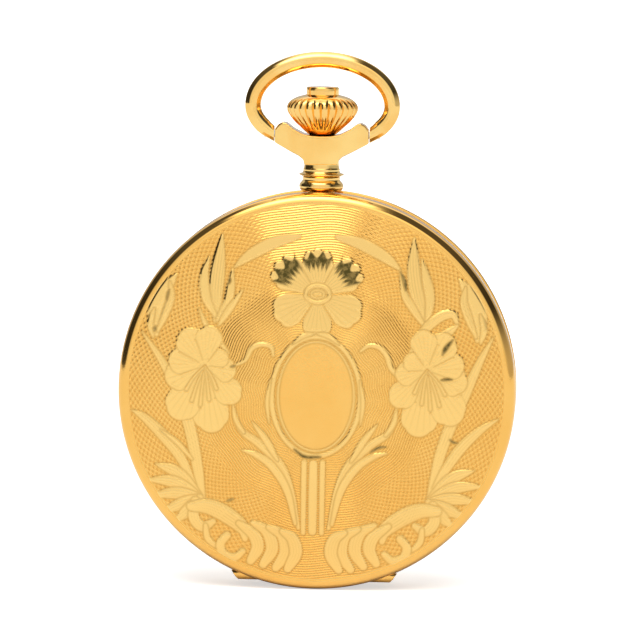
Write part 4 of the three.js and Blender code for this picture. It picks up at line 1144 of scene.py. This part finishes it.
def pearled(name):
    """A gilt plate covered with small overlapping polished circles, their light and dark rings a painted
    sheen in the colour.
    """
    n = Nodes(name)
    node = n.new("TexVoronoi")
    node.inputs["Scale"].default_value = 620.0
    node.inputs["Randomness"].default_value = 0.12
    n.put(node.inputs["Vector"], n.object)
    rings = n.math("SINE", n.times(node.outputs["Distance"], 30.0))
    # Painted sheen: each circle's light and dark rings are painted into the gilt colour.
    n.set(Base_Color=n.mix(n.between(rings, -1.0, 1.0), (0.78, 0.52, 0.20), (0.9, 0.64, 0.29)), Metallic=1.0)
    n.set(Roughness=0.28, Normal=n.bump(rings, 0.000008))
    return n.material


STRIPED = striped("striped_gilt")
PEARLED = pearled("pearled_gilt")
FINISHES = {
    "engraved_gold": BAND_METAL, "polished_gold": POLISHED, "gilt": STRIPED, "brass": BRASS,
    "blued_steel": BLUED, "steel": STEEL, "enamel": ENAMEL, "glass": glass.material,
}
slots = {part["node"]: part["material_slot"] for part in frame["record"]["subparts"]}
for name, node in frame["nodes"].items():
    finish = PEARLED if name == "mainplate" else FINISHES[slots[name]]
    node.data.materials.clear()
    node.data.materials.append(finish)
    sharpen(node, 32)

RUBY = coloured("ruby", (0.42, 0.006, 0.03), (0.62, 0.012, 0.05), 0.08, 1.0, 0.0000004)
BRIDGE_BACK = -3.0
JEWELS = {
    "centre": ((0, 0), BRIDGE_BACK), "third": ((5.99, 3.11), BRIDGE_BACK), "fourth": (FOURTH, BRIDGE_BACK),
    "escape": ((9.84, -4.35), BRIDGE_BACK), "pallet": ((8.2, -7.55), -1.25), "balance": ((5.5, -12.8), -3.9),
}
for name, (at, level) in JEWELS.items():
    size = 0.62 if name != "balance" else 0.6
    stone = [(0.0, level - 0.10), (0.12, level - 0.06), (size, level - 0.08), (size, level), (0.0, level)]
    make(f"jewel_{name}", *turned(stone, 40, at=at), RUBY, "case", "steel")
    if name != "balance":
        setting = [(size, level - 0.07), (size + 0.22, level - 0.07), (size + 0.28, level), (size, level)]
        sharpen(make(f"setting_{name}", *turned(setting, 48, at=at), POLISHED, "case", "gilt"), 40)

# ---- studio ----

PAPER_GLOW = 0.6
FLOOR_GAP = 0.00002
floor_mesh = bpy.data.meshes.new("floor")
floor_mesh.from_pydata([(-4, -4, 0), (4, -4, 0), (4, 4, 0), (-4, 4, 0)], [], [(0, 1, 2, 3)])
floor = link("floor", floor_mesh)
paper = Nodes("white_paper")
paper.set(Base_Color=(0.66, 0.66, 0.66), Roughness=0.9, Specular_IOR_Level=0.1)
camera_ray = paper.new("LightPath").outputs["Is Camera Ray"]
paper.set(Emission_Color=(1.0, 0.985, 0.97), Emission_Strength=paper.times(camera_ray, PAPER_GLOW))
floor_mesh.materials.append(paper.material)
floor.location.z = cad_low[2] - FLOOR_GAP

world = bpy.data.worlds.new("studio")
bpy.context.scene.world = world
world.use_nodes = True
sky = Graph(world.node_tree)
dx, dy, dz = sky.split(sky.new("TexCoord").outputs["Generated"])
# Two angles of a direction: away from the line to the viewer, and round that line from the right.
aside = sky.math("ARCCOSINE", sky.times(dy, -1.0))
around = sky.math("ARCTAN2", dz, dx)


def window(value, start, end, blur):
    """1 between two angles in degrees, falling to 0 outside them."""
    edges = [radians(a) for a in (start - blur, start + blur, end - blur, end + blur)]
    return sky.times(sky.between(value, *edges[:2]), sky.between(value, *edges[2:], 1.0, 0.0))


# Dark flags at both sides are what the polished rim and bow reflect, and a bright strip lies above.
FLAG_DARKNESS = 0.93
STRIP_STRENGTH = 2.6
belt = window(aside, 54, 128, 7)
flags = sky.times(belt, sky.math("MAXIMUM", window(around, 112, 186, 10), window(around, 14, 76, 10)))
ahead_glow = sky.between(aside, radians(25), radians(75), 0.93, 0.55)
level = sky.add(ahead_glow, sky.between(dz, 0.35, 0.75, 0.0, 0.8))
level = sky.times(level, sky.math("SUBTRACT", 1.0, sky.times(flags, FLAG_DARKNESS)))
top_strip = sky.times(window(aside, 58, 88, 6), window(around, 76, 121, 6))
level = sky.add(level, sky.times(top_strip, STRIP_STRENGTH))
# The camera itself sees plain white.
seen = sky.new("LightPath").outputs["Is Camera Ray"]
background = sky.new("Background")
background.inputs["Color"].default_value = (1.0, 1.0, 1.0, 1.0)
sky.put(background.inputs["Strength"], sky.add(sky.times(level, sky.math("SUBTRACT", 1.0, seen)), seen))
sky.put(sky.new("OutputWorld").inputs["Surface"], background.outputs[0])

sun_data = bpy.data.lights.new("key", "SUN")
sun_data.energy = 2.1
sun_data.angle = radians(50)
sun = link("key", sun_data)
sun.rotation_euler = (radians(28), radians(4), 0)
sun.visible_glossy = False

bpy.context.scene.view_settings.view_transform = "Standard"

camera_data = bpy.data.cameras.new("camera")
camera = link("camera", camera_data)
bpy.context.scene.camera = camera
DISTANCE = 0.6
AZIMUTH, ELEVATION, ROLL = radians(3), radians(5), radians(0.9)
SENSOR_WIDTH = 36
FRAME_WIDTH = 0.0800757
aim = Vector((-0.00022, 0.0, CENTRE_HEIGHT * MM + 0.0090))
level_reach = cos(ELEVATION)
back = Vector((sin(AZIMUTH) * level_reach, -cos(AZIMUTH) * level_reach, sin(ELEVATION)))
camera_data.sensor_width = SENSOR_WIDTH
camera_data.lens = SENSOR_WIDTH * DISTANCE / FRAME_WIDTH
camera_data.clip_start, camera_data.clip_end = 0.01, 50
camera.location = aim + back * DISTANCE
camera.rotation_mode = "QUATERNION"
camera.rotation_quaternion = (-back).to_track_quat("-Z", "Y") @ Matrix.Rotation(ROLL, 3, "Z").to_quaternion()
